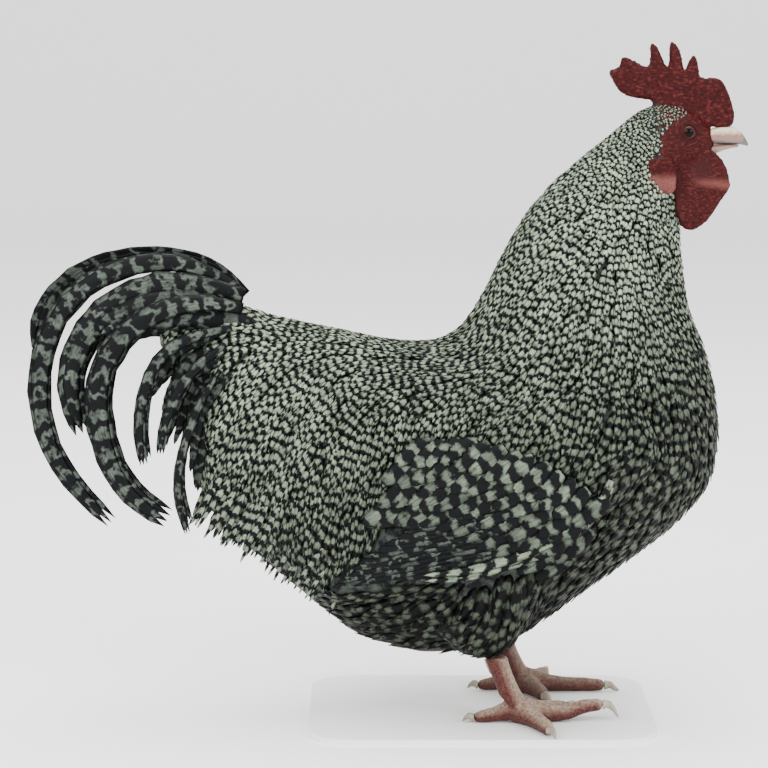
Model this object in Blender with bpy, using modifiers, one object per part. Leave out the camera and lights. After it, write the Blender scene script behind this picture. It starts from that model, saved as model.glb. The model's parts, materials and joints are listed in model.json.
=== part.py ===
"""A standing rooster of a short-legged, heavy breed, life size, as a still model.

Metres, +Z up. The bird faces +X, with the middle of its outline at the origin. It stands on a thin flat
base, which lies on z = 0, because the pose alone balances too near its heels. The bird is modelled with
its feet at height 0 and then raised onto the base.
The body is one loft of oval ribs that fan from the nape round to the rump. It is parted into neck and
trunk where two ribs meet. Each pair of neighbours keeps a gap of JOINT, so that no two solids overlap.
"""

import math

import bmesh
import bpy
from mathutils import Matrix, Vector
from mathutils.bvhtree import BVHTree

MM = 0.001
JOINT = 0.4 * MM  # clearance between neighbouring solids
RIB_SIDES = 16  # corners of one body rib
RIBS_PER_ROW = 1  # ribs drawn for each row of the body table

# Body ribs in millimetres: back point (x, z), front or belly point (x, z), half width.
# They run from the nape, down the neck, round the breast and belly, to the hanging saddle.
BODY_RIBS = [
    ((178, 413), (194, 373), 18),
    ((161, 401), (197, 345), 23),
    ((136, 381), (199, 318), 30),
    ((113, 361), (202, 292), 38),
    ((94, 339), (206, 270), 49),
    ((79, 311), (216, 250), 62),
    ((67, 286), (224, 220), 73),
    ((52, 262), (227, 188), 82),
    ((34, 252), (222, 156), 87),
    ((14, 252), (199, 129), 88),
    ((-6, 255), (167, 104), 85),
    ((-26, 260), (133, 79), 79),
    ((-44, 264), (98, 53), 72),
    ((-58, 267), (62, 37), 64.5),
    ((-68, 270), (22, 35), 57.5),
    ((-80, 272), (-12, 46), 51),
    ((-91, 271), (-41, 69), 46),
    ((-102, 267), (-70, 93), 41),
    ((-112, 257), (-97, 116), 35),
    ((-120, 243), (-119, 138), 27),
    ((-126, 224), (-129, 164), 16),
]
NECK_TOP, NECK_ROOT = 1, 6  # rows of the table where the head and the trunk are parted off

# Head sections across X: (x, top z, bottom z, half width), from the nape to the beak's root.
HEAD_SECTIONS = [
    (166, 407, 364, 17),
    (175, 412, 361, 20),
    (184, 414, 362, 20.5),
    (193, 414, 364, 19.5),
    (202, 411.5, 367, 17.5),
    (210, 407, 371, 14.5),
    (217, 401.5, 375.5, 11),
    (223, 397, 379, 8),
]
UPPER_BEAK = [
    (218, 396.5, 387.2, 7.6),
    (225, 398.2, 387.0, 6.8),
    (231, 398.8, 386.9, 5.6),
    (235.5, 397.6, 386.8, 4.4),
    (239.5, 394.0, 386.6, 3.2),
    (242, 390.4, 386.2, 2.1),
    (243.8, 387.2, 385.4, 0.9),
]
LOWER_BEAK = [
    (217, 386.4, 379.6, 7.0),
    (223, 386.2, 381.0, 6.2),
    (228, 386.2, 383.0, 5.0),
    (233, 386.1, 384.4, 3.6),
    (237.5, 386.0, 385.0, 1.8),
]
EYE_CENTRE, EYE_RADIUS = Vector((202.4, -12.4, 394.9)) * MM, 6.2 * MM

# Outlines in the side plane, in millimetres.
COMB_OUTLINE = [
    (178.5, 417), (165.5, 418), (156.5, 423), (152, 431), (150, 436), (157.5, 438), (158.5, 445),
    (165.5, 443), (176.5, 437.5), (177.8, 447), (178.2, 454.5), (183, 450), (186, 443), (190, 435.5),
    (190.4, 446), (191.4, 455.5), (197, 450), (199, 441), (201, 433.5), (203, 440), (206.5, 446.5),
    (209.5, 441.5), (211, 431), (219.5, 431), (224, 430), (228, 426), (232.5, 414), (234.5, 405),
    (233, 399), (228, 395), (222, 393), (214, 394), (206, 401), (186, 404),
]
COMB_HALF, COMB_ROUND = 3.2 * MM, 1.1 * MM
WATTLE_OUTLINE = [
    (219, 383), (225, 377.5), (229, 370), (231, 360.5), (230, 356.5), (225, 350), (218, 339),
    (211.5, 333), (205, 329.5), (198.5, 332), (194, 344), (193.5, 355), (197, 367), (206, 378),
]
WATTLE_HALF, WATTLE_ROUND = 2.1 * MM, 0.8 * MM
WATTLE_SIDE, WATTLE_SPLAY = 9.5 * MM, math.radians(9)  # sideways place and outward swing
EARLOBE_OUTLINE = [
    (176, 377), (184, 379), (190.5, 378), (194, 367.5), (193.5, 357.5), (190, 354), (182.5, 358.5),
    (177, 366),
]
EARLOBE_HALF, EARLOBE_ROUND, EARLOBE_SIDE = 2.1 * MM, 0.9 * MM, 22.8 * MM

# Folded wing in the side plane: top edge and bottom edge from the shoulder to the tip.
WING_TOP = [(176, 202), (152, 225), (110, 228), (68, 208), (30, 170), (-5, 128), (-38, 94)]
WING_BOTTOM = [(176, 186), (152, 161), (123, 132), (95, 115), (57, 101), (10, 90), (-38, 78)]
WING_THICK, WING_EDGE = 7.5 * MM, 2.2 * MM
WING_GRID = (9, 5)
WING_LEAN = 0.42  # how fast the wing's lower part may follow the body inwards
WING_HANGS_FROM, WING_STEP = 240 * MM, 6 * MM
WING_LIFT = 2.6 * MM  # keeps the middles of the wing's flat faces outside the round body
RAY_START = 0.3  # rays at the body start this far out, clear of it

# Tail feathers of one side: name, shaft line (x, z) from root to tip, vane width,
# sideways place at root and tip.
SICKLES = {
    "sickle_lesser": ([(-95, 285), (-124, 293), (-158, 293), (-182, 282), (-198, 266), (-211, 242),
                       (-213, 218), (-204, 194)], 25, (10, 20)),
    "sickle_side": ([(-95, 278), (-117, 284), (-148, 280), (-170, 267), (-188, 247), (-194, 226),
                       (-193, 202), (-185, 170), (-168, 147), (-146, 135)], 21, (27, 33)),
    "hanger_upper": ([(-102, 266), (-124, 262), (-143, 254), (-156, 239), (-163, 215), (-165, 192),
                       (-161, 174)], 11, (33, 39)),
    "hanger_middle": ([(-106, 255), (-122, 244), (-136, 228), (-144, 211), (-149, 194),
                       (-150, 182)], 10, (36, 42)),
    "hanger_lower": ([(-110, 238), (-122, 219), (-131, 198), (-138, 174), (-139, 151),
                      (-132, 128)], 8, (36, 43)),
    "tail_fan": ([(-91, 264), (-128, 278), (-163, 274), (-190, 261)], 34, (21.5, 24)),
}
MAIN_SICKLES = {
    "right": ([(-96, 286), (-112, 301), (-141, 310), (-165, 309), (-197, 298), (-219, 280),
               (-232, 251), (-236, 217), (-230, 184), (-211, 155), (-185, 131)], 19, (4, 16)),
    "left": ([(-94, 285), (-108, 301), (-128, 309), (-156, 312), (-186, 309), (-212, 298), (-230, 282),
              (-239, 264), (-240, 253), (-235, 242)], 17, (4, 14)),
}
FAR_SHIFT = (-4, -7)  # the left side's hanging feathers lie a little lower and further back
EDGE_HALF, SHAFT_HALF = 0.42 * MM, 0.98 * MM  # half thickness of a vane at its edge and at its shaft
VANE_RINGS = 10

TAIL_BASE = [  # sections across X: (x, top z, bottom z, half width)
    (-84, 274, 214, 34),
    (-102, 279, 222, 31),
    (-120, 279, 232, 26),
    (-138, 274, 240, 19),
    (-152, 267, 248, 11),
]

# Legs. The right one is measured, and the left one mirrors it and stands a little further forward.
STANCE = 44  # sideways place of each leg
LEFT_AHEAD = 6
THIGH = [  # (x, y, z, half length along X, half width along Y) down the leg
    (84, 36, 126, 33, 24),
    (78, 38, 100, 35, 27),
    (70, 41, 76, 32, 25),
    (65, 43, 60, 26, 21),
    (66, 44, 50, 18, 15),
    (69, 44, 45, 12, 11),
]
SHANK = [  # from the hock to the ankle: (x, z, radius along X, radius along Y)
    (72, 53, 9.6, 8.6),
    (74.5, 44, 9.2, 7.9),
    (79, 32, 9.4, 7.7),
    (84.5, 20, 10.4, 8.4),
    (88, 12, 11.0, 9.2),
]
SHANK_LEAN = 0.55  # section planes tilt this much forward
ANKLE_X = 92
# Toes: points (x from the ankle, y outwards from the leg, z, radius). Most points lie a little lower
# than their radius, so that the floor cuts a small flat on the pads below them.
TOES = {
    "middle": [(-4, 0, 9, 10), (7, 0, 7.8, 8), (19, 0, 5.8, 6), (31, 0, 5, 5.2), (43, 0, 4.8, 5),
               (54, 0, 4.3, 4.4)],
    "outer": [(-2, 1, 8, 9), (5, 11, 6.8, 7), (10, 21, 5.5, 5.8), (14, 31, 5, 5.2), (16, 38, 4.3, 4.4)],
    "inner": [(-2, -1, 8, 9), (10, -9, 6.4, 6.6), (20, -16, 5.4, 5.6), (30, -23, 4.5, 4.6)],
    "hind": [(-6, 0, 8.5, 8), (-16, 1, 6, 5.4), (-25, 2, 4.4, 4.6), (-30, 2.5, 3.8, 4)],
}
# The right foot lifts the end of its middle toe, and the left foot spreads its inner toe.
TOES_OF = {
    "right": {**TOES, "middle": [*TOES["middle"][:3], (31, 0, 6.2, 5.2), (41, 0, 10.5, 5), (52, 0, 12, 4.4)]},
    "left": {**TOES, "inner": [(-2, -1, 8, 9), (4, -11, 6.4, 6.6), (9, -21, 5.4, 5.6), (12, -31, 4.5, 4.6)]},
}
CLAW_ARCH = 1.6
CLAW_LENGTH = {"middle": 10, "outer": 11, "inner": 12, "hind": 7}
CLAW_DROP = {"middle": 9, "outer": 3, "inner": 3, "hind": 2.5}
BASE_X, BASE_HALF_Y = (-52, 182), 92  # the base's ends and half its width, in millimetres
BASE_THICK, BASE_CORNER, BASE_GAP = 4 * MM, 30 * MM, 0.1 * MM
SPUR_ROOT, SPUR_TIP, SPUR_RADIUS = (74, 7, 35), (68, 17, 37), 4.2

COLOURS = {
    "hackle": ((0.20, 0.22, 0.19), 0.8),
    "body_feather": ((0.08, 0.09, 0.09), 0.8),
    "tail_feather": ((0.05, 0.055, 0.06), 0.7),
    "comb": ((0.20, 0.03, 0.03), 0.6),
    "beak": ((0.55, 0.47, 0.36), 0.4),
    "eye": ((0.01, 0.008, 0.006), 0.1),
    "leg": ((0.42, 0.24, 0.19), 0.6),
    "stand": ((0.72, 0.72, 0.7), 0.6),
    "claw": ((0.45, 0.42, 0.34), 0.5),
}


def clear_scene():
    for obj in list(bpy.data.objects):
        bpy.data.objects.remove(obj)


def collection(name):
    made = bpy.data.collections.new(name)
    bpy.context.scene.collection.children.link(made)
    return made


def material(name):
    made = bpy.data.materials.get(name)
    if made is None:
        made = bpy.data.materials.new(name)
        made.use_nodes = True
        colour, rough = COLOURS[name]
        shader = made.node_tree.nodes["Principled BSDF"]
        shader.inputs["Base Color"].default_value = (*colour, 1)
        shader.inputs["Roughness"].default_value = rough
    return made


def node(name, mesh, finish):
    """One named solid of the model."""
    mesh.materials.clear()
    mesh.materials.append(material(finish))
    obj = bpy.data.objects.new(name, mesh)
    parts.objects.link(obj)
    mesh.shade_smooth()
    mesh.set_sharp_from_angle(angle=math.radians(45))
    return obj


def mesh_of(bm, name):
    bmesh.ops.remove_doubles(bm, verts=bm.verts, dist=0.01 * MM)
    bmesh.ops.recalc_face_normals(bm, faces=bm.faces)
    mesh = bpy.data.meshes.new(name)
    bm.to_mesh(mesh)
    bm.free()
    return mesh


def smooth_rows(rows, per_row):
    """Catmull-Rom rows through a table of equal-length number rows, per_row steps for each of them."""
    found = []
    last = len(rows) - 1
    for i in range(last):
        a, b, c, d = (rows[max(0, min(last, i + k))] for k in (-1, 0, 1, 2))
        for step in range(per_row):
            t = step / per_row
            found.append([
                q + 0.5 * t * (r - p + t * (2 * p - 5 * q + 4 * r - s + t * (3 * q - p - 3 * r + s)))
                for p, q, r, s in zip(a, b, c, d)
            ])
    return [*found, list(rows[-1])]


def loft(name, rings):
    """A closed mesh through rings of equal length, each end closed by a fan to its middle.

    Each quad is parted into triangles the same way on both halves of a ring, so that the left and the
    right side of the model mirror each other exactly."""
    bm = bmesh.new()
    loops = [[bm.verts.new(p) for p in ring] for ring in rings]
    sides = len(rings[0])
    for lower, upper in zip(loops, loops[1:]):
        for k in range(sides):
            n = (k + 1) % sides
            a, b, c, d = lower[k], lower[n], upper[n], upper[k]
            if 2 * k >= sides:
                a, b, c, d = b, a, d, c
            bm.faces.new((a, b, c))
            bm.faces.new((a, c, d))
    for loop, ring in ((loops[0], rings[0]), (loops[-1], rings[-1])):
        pole = bm.verts.new(sum(ring, Vector()) / sides)
        for k in range(sides):
            bm.faces.new((loop[k], loop[(k + 1) % sides], pole))
    return mesh_of(bm, name)


def oval(centre, up, side, sides):
    return [
        centre + up * math.cos(a) + side * math.sin(a)
        for a in (2 * math.pi * k / sides for k in range(sides))
    ]


def body_rings():
    """Ribs of the whole body. Each is an oval between its back point and its front point."""
    rows = smooth_rows([(*b, *f, w) for b, f, w in BODY_RIBS], RIBS_PER_ROW)
    rings = []
    for bx, bz, fx, fz, half in rows:
        back, front = Vector((bx, 0, bz)) * MM, Vector((fx, 0, fz)) * MM
        rings.append(oval((back + front) / 2, (back - front) / 2, Vector((0, half * MM, 0)), RIB_SIDES))
    return rings


def shifted(ring, towards):
    """The ring moved half a joint towards another ring's middle."""
    middle = sum(ring, Vector()) / len(ring)
    other = sum(towards, Vector()) / len(towards)
    step = (other - middle).normalized() * JOINT
    return [p + step for p in ring]


def powered(value, power):
    """The power of a signed value, with its sign kept."""
    return math.copysign(abs(value) ** power, value)


def section_rings(sections, sides, sharp=1.0):
    """Ovals across X from rows of (x, top, bottom, half width)."""
    rings = []
    for x, top, bottom, half in sections:
        centre = Vector((x, 0, (top + bottom) / 2)) * MM
        up = Vector((0, 0, (top - bottom) / 2)) * MM
        side = Vector((0, half, 0)) * MM
        ring = []
        for k in range(sides):
            a = 2 * math.pi * k / sides
            c, s = math.cos(a), math.sin(a)
            ring.append(centre + up * powered(c, sharp) + side * powered(s, sharp))
        rings.append(ring)
    return rings


def helper(name, mesh):
    """A cutter, left out of the model."""
    obj = bpy.data.objects.new(name, mesh)
    cutters.objects.link(obj)
    obj.hide_render = True
    obj.display_type = "WIRE"
    return obj


def swollen(mesh, by):
    """The closed mesh with its surface moved outwards."""
    bm = bmesh.new()
    bm.from_mesh(mesh)
    bm.normal_update()
    moves = [(v, v.co + v.normal * by) for v in bm.verts]
    for v, place in moves:
        v.co = place
    return mesh_of(bm, mesh.name)


def grown(name, mesh, by=JOINT):
    """A cutter that stands the joint's clearance proud of a solid."""
    return helper("cut_" + name, swollen(mesh, by))


def evaluated_mesh(obj):
    """A new mesh of the object with its modifiers."""
    return bpy.data.meshes.new_from_object(obj.evaluated_get(bpy.context.evaluated_depsgraph_get()))


def boolean(mesh, cutter, operation="DIFFERENCE"):
    """The mesh after one exact Boolean."""
    obj = helper("work", mesh)
    cut = obj.modifiers.new("cut", "BOOLEAN")
    cut.operation = operation
    cut.object = cutter
    done = evaluated_mesh(obj)
    bpy.data.objects.remove(obj)
    return done


def joined(meshes):
    """The union of closed meshes that overlap."""
    whole = meshes[0]
    for k, mesh in enumerate(meshes[1:]):
        other = helper(f"union_{k}", mesh)
        whole = boolean(whole, other, "UNION")
        bpy.data.objects.remove(other)
    return whole


def plate(outline, half, round_edge, steps):
    """A flat outline in the side plane: a filled curve with thickness, made a mesh, its rims cut back."""
    curve = bpy.data.curves.new("plate", "CURVE")
    curve.dimensions = "2D"
    curve.fill_mode = "BOTH"
    curve.extrude = half
    spline = curve.splines.new("POLY")
    points = smooth_rows([*outline, outline[0]], steps)[:-1]
    spline.points.add(len(points) - 1)
    for point, (x, z) in zip(spline.points, points):
        point.co = (x * MM, z * MM, 0, 1)
    spline.use_cyclic_u = True
    obj = helper("plate", curve)
    obj.rotation_euler = (math.pi / 2, 0, 0)
    bpy.context.view_layer.update()
    mesh = evaluated_mesh(obj)
    mesh.transform(obj.matrix_world)
    bpy.data.objects.remove(obj)
    bm = bmesh.new()
    bm.from_mesh(mesh)
    bmesh.ops.remove_doubles(bm, verts=bm.verts, dist=0.01 * MM)
    bmesh.ops.dissolve_limit(bm, angle_limit=math.radians(1), verts=bm.verts, edges=bm.edges)
    flat = [f for f in bm.faces if abs(f.normal.y) > 0.9]
    rim = {e for f in flat for e in f.edges}
    bmesh.ops.bevel(bm, geom=list(rim), offset=round_edge, segments=1, affect="EDGES", clamp_overlap=True)
    bmesh.ops.triangulate(bm, faces=bm.faces)
    return mesh_of(bm, "plate")


def mirrored(mesh):
    bm = bmesh.new()
    bm.from_mesh(mesh)
    for v in bm.verts:
        v.co.y = -v.co.y
    return mesh_of(bm, mesh.name)


def make_neck_and_trunk(head_cut, inner_cuts):
    rings = body_rings()
    top, root = NECK_TOP * RIBS_PER_ROW, NECK_ROOT * RIBS_PER_ROW
    neck_rings = rings[top:root + 1]
    neck = loft("neck", [*neck_rings[:-1], shifted(neck_rings[-1], neck_rings[-2])])
    node("neck", boolean(neck, head_cut), "hackle")
    trunk = loft("trunk", rings[root:])
    for cut in inner_cuts:
        trunk = boolean(trunk, cut)
    node("trunk", trunk, "body_feather")


def body_surface():
    """A search tree of the whole body, for laying the wings on it."""
    bm = bmesh.new()
    bm.from_mesh(loft("surface", body_rings()))
    tree = BVHTree.FromBMesh(bm)
    bm.free()
    return tree


def side_depth(tree, x, z):
    """How far out from the middle plane the body's right side is, or 0 beside it."""
    hit = tree.ray_cast(Vector((x, -RAY_START, z)), Vector((0, 1, 0)))[0]
    return -hit.y if hit else 0.0


def along_rows(rows, share):
    """The point at a share of the way along rows of numbers."""
    place = share * (len(rows) - 1)
    k = min(int(place), len(rows) - 2)
    return Vector(rows[k]).lerp(Vector(rows[k + 1]), place - k)


def wing_place(tree, x, z):
    """A point of the wing's inner face: on the body, or hanging straight below its widest part."""
    depth = side_depth(tree, x, z)
    height = z
    while height < WING_HANGS_FROM:
        height += WING_STEP
        depth = max(depth, side_depth(tree, x, height) - WING_LEAN * (height - z))
    return Vector((x, -depth, z))


def make_wing(tree):
    """A folded wing: a grid laid on the body's side, given thickness outwards."""
    top, bottom = smooth_rows(WING_TOP, 3), smooth_rows(WING_BOTTOM, 3)
    bm = bmesh.new()
    bmesh.ops.create_grid(bm, x_segments=WING_GRID[0], y_segments=WING_GRID[1], size=1)
    for v in bm.verts:
        along, down = (v.co.x + 1) / 2, (1 - v.co.y) / 2
        x, z = along_rows(top, along).lerp(along_rows(bottom, along), down) * MM
        v.co = wing_place(tree, x, z)
    for _ in range(2):
        bmesh.ops.smooth_vert(bm, verts=bm.verts, factor=0.5, use_axis_y=True)
    for v in bm.verts:
        v.co.y = min(v.co.y, -side_depth(tree, v.co.x, v.co.z)) - WING_LIFT
    bmesh.ops.recalc_face_normals(bm, faces=bm.faces)
    if sum(f.normal.y for f in bm.faces) > 0:
        bmesh.ops.reverse_faces(bm, faces=bm.faces)
    mesh = bpy.data.meshes.new("wing")
    bm.to_mesh(mesh)
    bm.free()
    obj = helper("wing_sheet", mesh)
    wall = obj.modifiers.new("thickness", "SOLIDIFY")
    wall.thickness = WING_THICK
    wall.offset = 1
    edge = obj.modifiers.new("rounded edge", "BEVEL")
    edge.width = WING_EDGE
    edge.segments = 1
    edge.limit_method = "ANGLE"
    edge.angle_limit = math.radians(50)
    done = evaluated_mesh(obj)
    bpy.data.objects.remove(obj)
    return done


def vane_width(width, share):
    """A feather widens quickly from its root and narrows to a point over its last third."""
    return width * min(1.0, 0.45 + 2.2 * share) * min(1.0, (1.04 - share) * 3.2) ** 0.8


def vane(name, line, width, sideways, sign, keep_clear):
    """A tail feather: a thin curved blade along its shaft line, thickest along the shaft.

    It starts at the first place where it stands clear of the solids in keep_clear."""
    points = smooth_rows(line, 6)
    rings = []
    for k in range(VANE_RINGS):
        share = k / (VANE_RINGS - 1)
        here = along_rows(points, share)
        ahead = along_rows(points, min(1, share + 0.01)) - along_rows(points, max(0, share - 0.01))
        across = Vector((-ahead.y, 0, ahead.x)).normalized() * vane_width(width, share) / 2 * MM
        y = sign * (sideways[0] + (sideways[1] - sideways[0]) * share)
        middle = Vector((here.x, y, here.y)) * MM
        edge, shaft = Vector((0, EDGE_HALF, 0)), Vector((0, SHAFT_HALF, 0))
        rings.append([
            middle + across + edge, middle + shaft, middle - across + edge,
            middle - across - edge, middle - shaft, middle + across - edge,
        ])
    start = 0
    for k, ring in enumerate(rings[:VANE_RINGS // 2]):
        if any(inside(tree, p) for tree in keep_clear for p in ring):
            start = k + 1
    return loft(name, rings[start:])


def inside(tree, point):
    """True where a point is inside a closed surface, or within a joint of it."""
    near, normal, _, distance = tree.find_nearest(point)
    return distance < 3 * JOINT or (point - near).dot(normal) < 0


def tree_of(mesh):
    bm = bmesh.new()
    bm.from_mesh(mesh)
    tree = BVHTree.FromBMesh(bm)
    bm.free()
    return tree


def make_tail(clear_of):
    for side, sign in (("right", -1), ("left", 1)):
        line, width, sideways = MAIN_SICKLES[side]
        node(f"sickle_main_{side}", vane("sickle", line, width, sideways, sign, clear_of), "tail_feather")
        for name, (line, width, sideways) in SICKLES.items():
            if side == "left":
                line = [(x + FAR_SHIFT[0], z + FAR_SHIFT[1]) for x, z in line]
            node(f"{name}_{side}", vane(name, line, width, sideways, sign, clear_of), "tail_feather")


def make_thigh():
    rows = smooth_rows(THIGH, 1)
    rings = [
        oval(Vector((x, -y, z)) * MM, Vector((rx, 0, 0)) * MM, Vector((0, ry, 0)) * MM, 12)
        for x, y, z, rx, ry in rows
    ]
    return loft("thigh", rings)


def make_shank():
    rows = smooth_rows(SHANK, 2)
    rings = []
    for x, z, along, across in rows:
        forward = Vector((along, 0, -along * SHANK_LEAN)) * MM
        rings.append(oval(Vector((x, -STANCE, z)) * MM, forward, Vector((0, across, 0)) * MM, 12))
    return loft("shank", rings)


def toe_line(toe):
    """A toe's points in the frame of the model, on the right-hand side."""
    return [(ANKLE_X + x, -(STANCE + y), z, r) for x, y, z, r in toe]


def tube(points, sides, tip=0.6, longer=0):
    """A tapering round body along points of (x, y, z, radius), with a rounded far end. It can start a
    little behind its first point."""
    rings = []
    last = len(points) - 1
    for k, (x, y, z, r) in enumerate(points):
        a, b = points[max(0, k - 1)], points[min(last, k + 1)]
        ahead = (Vector(b[:3]) - Vector(a[:3])).normalized()
        side = ahead.cross(Vector((0, 0, 1))).normalized()
        up = side.cross(ahead).normalized()
        centre = Vector((x, y, z)) * MM
        if k == 0:
            centre -= ahead * longer
        rings.append(oval(centre, up * r * MM, side * r * MM, sides))
        if k == last:
            end = centre + ahead * r * tip * MM
            rings.append(oval(end, up * r * 0.62 * MM, side * r * 0.62 * MM, sides))
    return loft("tube", rings)


def make_foot(toes, extra):
    """The four toes joined at the ankle. The extra thickness is for the foot's own cutter."""
    return joined([
        tube([(x, y, z, r + extra / MM) for x, y, z, r in toe_line(toe)], 7, longer=extra)
        for toe in toes.values()
    ])


def make_claw(name, toe):
    points = toe_line(toe)
    (ax, ay, _, _), (bx, by, bz, radius) = points[-2:]
    ahead = Vector((bx - ax, by - ay, 0)).normalized()
    start = Vector((bx, by, bz)) + ahead * radius * 0.1
    length, drop = CLAW_LENGTH[name], CLAW_DROP[name]
    rows = []
    for t in (0, 0.4, 0.75, 1.0):
        rise = CLAW_ARCH * math.sin(math.pi * t) - drop * t * t
        place = start + ahead * (radius * 0.6 + length * t) + Vector((0, 0, rise))
        thick = radius * 0.66 * (1 - t) ** 0.75 + 0.45
        rows.append((*place[:2], max(place.z, thick + 0.05), thick))
    rows.insert(0, (*(start - ahead * 1.5), radius * 0.62))
    return tube(rows, 6, 0.4)


def make_spur():
    (ax, ay, az), (bx, by, bz) = SPUR_ROOT, SPUR_TIP
    rows = []
    for t in (0, 0.5, 1.0):
        rows.append((
            ax + (bx - ax) * t, -(STANCE - ay - (by - ay) * t), az + (bz - az) * t + 2 * t * t,
            SPUR_RADIUS * (1 - t) + 0.7,
        ))
    return tube(rows, 8, 0.4)


def both_sides(name, mesh, finish):
    node(name + "_right", mesh, finish)
    node(name + "_left", mirrored(mesh), finish)


def floor_block():
    """A block whose top is the floor."""
    bm = bmesh.new()
    bmesh.ops.create_cube(bm, size=0.5)
    bmesh.ops.translate(bm, verts=bm.verts, vec=(0.1, 0, -0.25))
    return helper("cut_floor", mesh_of(bm, "floor"))


def make_legs(wing_cut):
    """Both legs. Returns the cutters of the two thighs."""
    thigh = boolean(make_thigh(), wing_cut)
    thigh_cut = grown("thigh", thigh)
    whole_shank = make_shank()
    spur = boolean(boolean(make_spur(), grown("shank", whole_shank)), thigh_cut)
    floor = floor_block()
    cuts = []
    for side, toes in TOES_OF.items():
        foot = boolean(make_foot(toes, 0), floor)
        foot_cut = helper("cut_foot_" + side, make_foot(toes, JOINT))
        pieces = {
            "thigh": (thigh, "body_feather"),
            "shank": (boolean(boolean(whole_shank, thigh_cut), foot_cut), "leg"),
            "foot": (foot, "leg"),
            "spur": (spur, "claw"),
        }
        for name, toe in toes.items():
            pieces["claw_" + name] = (boolean(make_claw(name, toe), foot_cut), "claw")
        for name, (mesh, finish) in pieces.items():
            node(f"{name}_{side}", placed_leg(mesh, side), finish)
        cuts.append(helper("cut_thigh_" + side, placed_leg(swollen(thigh, JOINT), side)))
    return cuts


def make_base():
    """A plain plate with round corners."""
    (start, end) = BASE_X
    bm = bmesh.new()
    bmesh.ops.create_cube(bm, size=1)
    bmesh.ops.scale(bm, verts=bm.verts, vec=((end - start) * MM, 2 * BASE_HALF_Y * MM, BASE_THICK))
    bmesh.ops.translate(bm, verts=bm.verts, vec=((start + end) / 2 * MM, 0, BASE_THICK / 2))
    upright = [e for e in bm.edges if abs(e.verts[0].co.z - e.verts[1].co.z) > BASE_THICK / 2]
    bmesh.ops.bevel(bm, geom=upright, offset=BASE_CORNER, segments=6, profile=0.5, affect="EDGES")
    bmesh.ops.triangulate(bm, faces=bm.faces)
    return mesh_of(bm, "base")


def raise_all(height):
    """Every solid made so far moves up."""
    for obj in parts.objects:
        obj.data.transform(Matrix.Translation((0, 0, height)))


def placed_leg(mesh, side):
    """The right-hand mesh itself, or its mirror image moved ahead for the left."""
    if side == "right":
        return mesh.copy()
    other = mirrored(mesh)
    other.transform(Matrix.Translation((LEFT_AHEAD * MM, 0, 0)))
    return other


def ball(name, centre, radius):
    bm = bmesh.new()
    bmesh.ops.create_uvsphere(bm, u_segments=10, v_segments=6, radius=radius)
    bmesh.ops.translate(bm, verts=bm.verts, vec=centre)
    return mesh_of(bm, name)


def make_head():
    """Head, beak, eyes, comb, wattles and ear lobes. Returns the head's cutter for the neck."""
    skull = loft("skull", section_rings(HEAD_SECTIONS, 12, 0.9))
    nape = loft("nape", body_rings()[:NECK_TOP * RIBS_PER_ROW + 1])
    whole = joined([skull, nape])
    upper = loft("beak_upper", section_rings(UPPER_BEAK, 10))
    lower = loft("beak_lower", section_rings(LOWER_BEAK, 10))
    eye = ball("eye", EYE_CENTRE, EYE_RADIUS)
    beak_cuts = [grown("beak_upper", upper), grown("beak_lower", lower)]
    eye_cuts = [grown("eye_right", eye), grown("eye_left", mirrored(eye))]
    for cut in beak_cuts + eye_cuts:
        whole = boolean(whole, cut)
    head_cut = helper("cut_head", joined([swollen(skull, JOINT), swollen(nape, JOINT)]))
    comb = plate(COMB_OUTLINE, COMB_HALF, COMB_ROUND, 2)
    for cut in (head_cut, *beak_cuts):
        comb = boolean(comb, cut)
    wattle = plate(WATTLE_OUTLINE, WATTLE_HALF, WATTLE_ROUND, 2)
    lobe = plate(EARLOBE_OUTLINE, EARLOBE_HALF, EARLOBE_ROUND, 1)
    hinge = Vector((0, 0, 378)) * MM
    bm = bmesh.new()
    bm.from_mesh(wattle)
    for v in bm.verts:
        drop = hinge.z - v.co.z
        v.co.y -= WATTLE_SIDE + drop * math.tan(WATTLE_SPLAY)
    wattle = mesh_of(bm, "wattle")
    for v in lobe.vertices:
        v.co.y -= EARLOBE_SIDE
    neck_cut = grown("neck", loft("neck", body_rings()[NECK_TOP * RIBS_PER_ROW:]), 2 * JOINT)
    for cut in (head_cut, *beak_cuts, neck_cut):
        wattle = boolean(wattle, cut)
        lobe = boolean(lobe, cut)
    node("head", whole, "hackle")
    node("beak_upper", upper, "beak")
    node("beak_lower", lower, "beak")
    node("comb", comb, "comb")
    both_sides("eye", eye, "eye")
    both_sides("wattle", wattle, "comb")
    both_sides("earlobe", lobe, "comb")
    return head_cut


clear_scene()
parts = collection("rooster")
cutters = collection("cutters")

head_cutter = make_head()
body_tree = body_surface()
body_cut = grown("body", loft("body", body_rings()), 2 * JOINT)
wing = boolean(make_wing(body_tree), body_cut)
both_sides("wing", wing, "body_feather")
thigh_cutters = make_legs(grown("wing", wing))
tail_base = loft("tail_base", section_rings(TAIL_BASE, 10))
tail_base = boolean(tail_base, body_cut)
node("tail_base", tail_base, "tail_feather")
make_tail([tree_of(tail_base), body_tree])
make_neck_and_trunk(head_cutter, thigh_cutters)
raise_all(BASE_THICK + BASE_GAP)
node("stand_base", make_base(), "stand")
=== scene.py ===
# %% [markdown]
# # A standing barred rooster
#
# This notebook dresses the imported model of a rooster. The solids give the outline, out to the tips of
# the feathers. Here one skin takes the place of the solids of flesh, and rows of thin solid feathers
# lie over it. The eyes, beak, claws and spurs stay pieces of their own, as they are on a bird.

import json
import math

import bmesh
import bpy
import numpy as np
from mathutils import Matrix, Vector, noise
from mathutils.bvhtree import BVHTree

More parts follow.
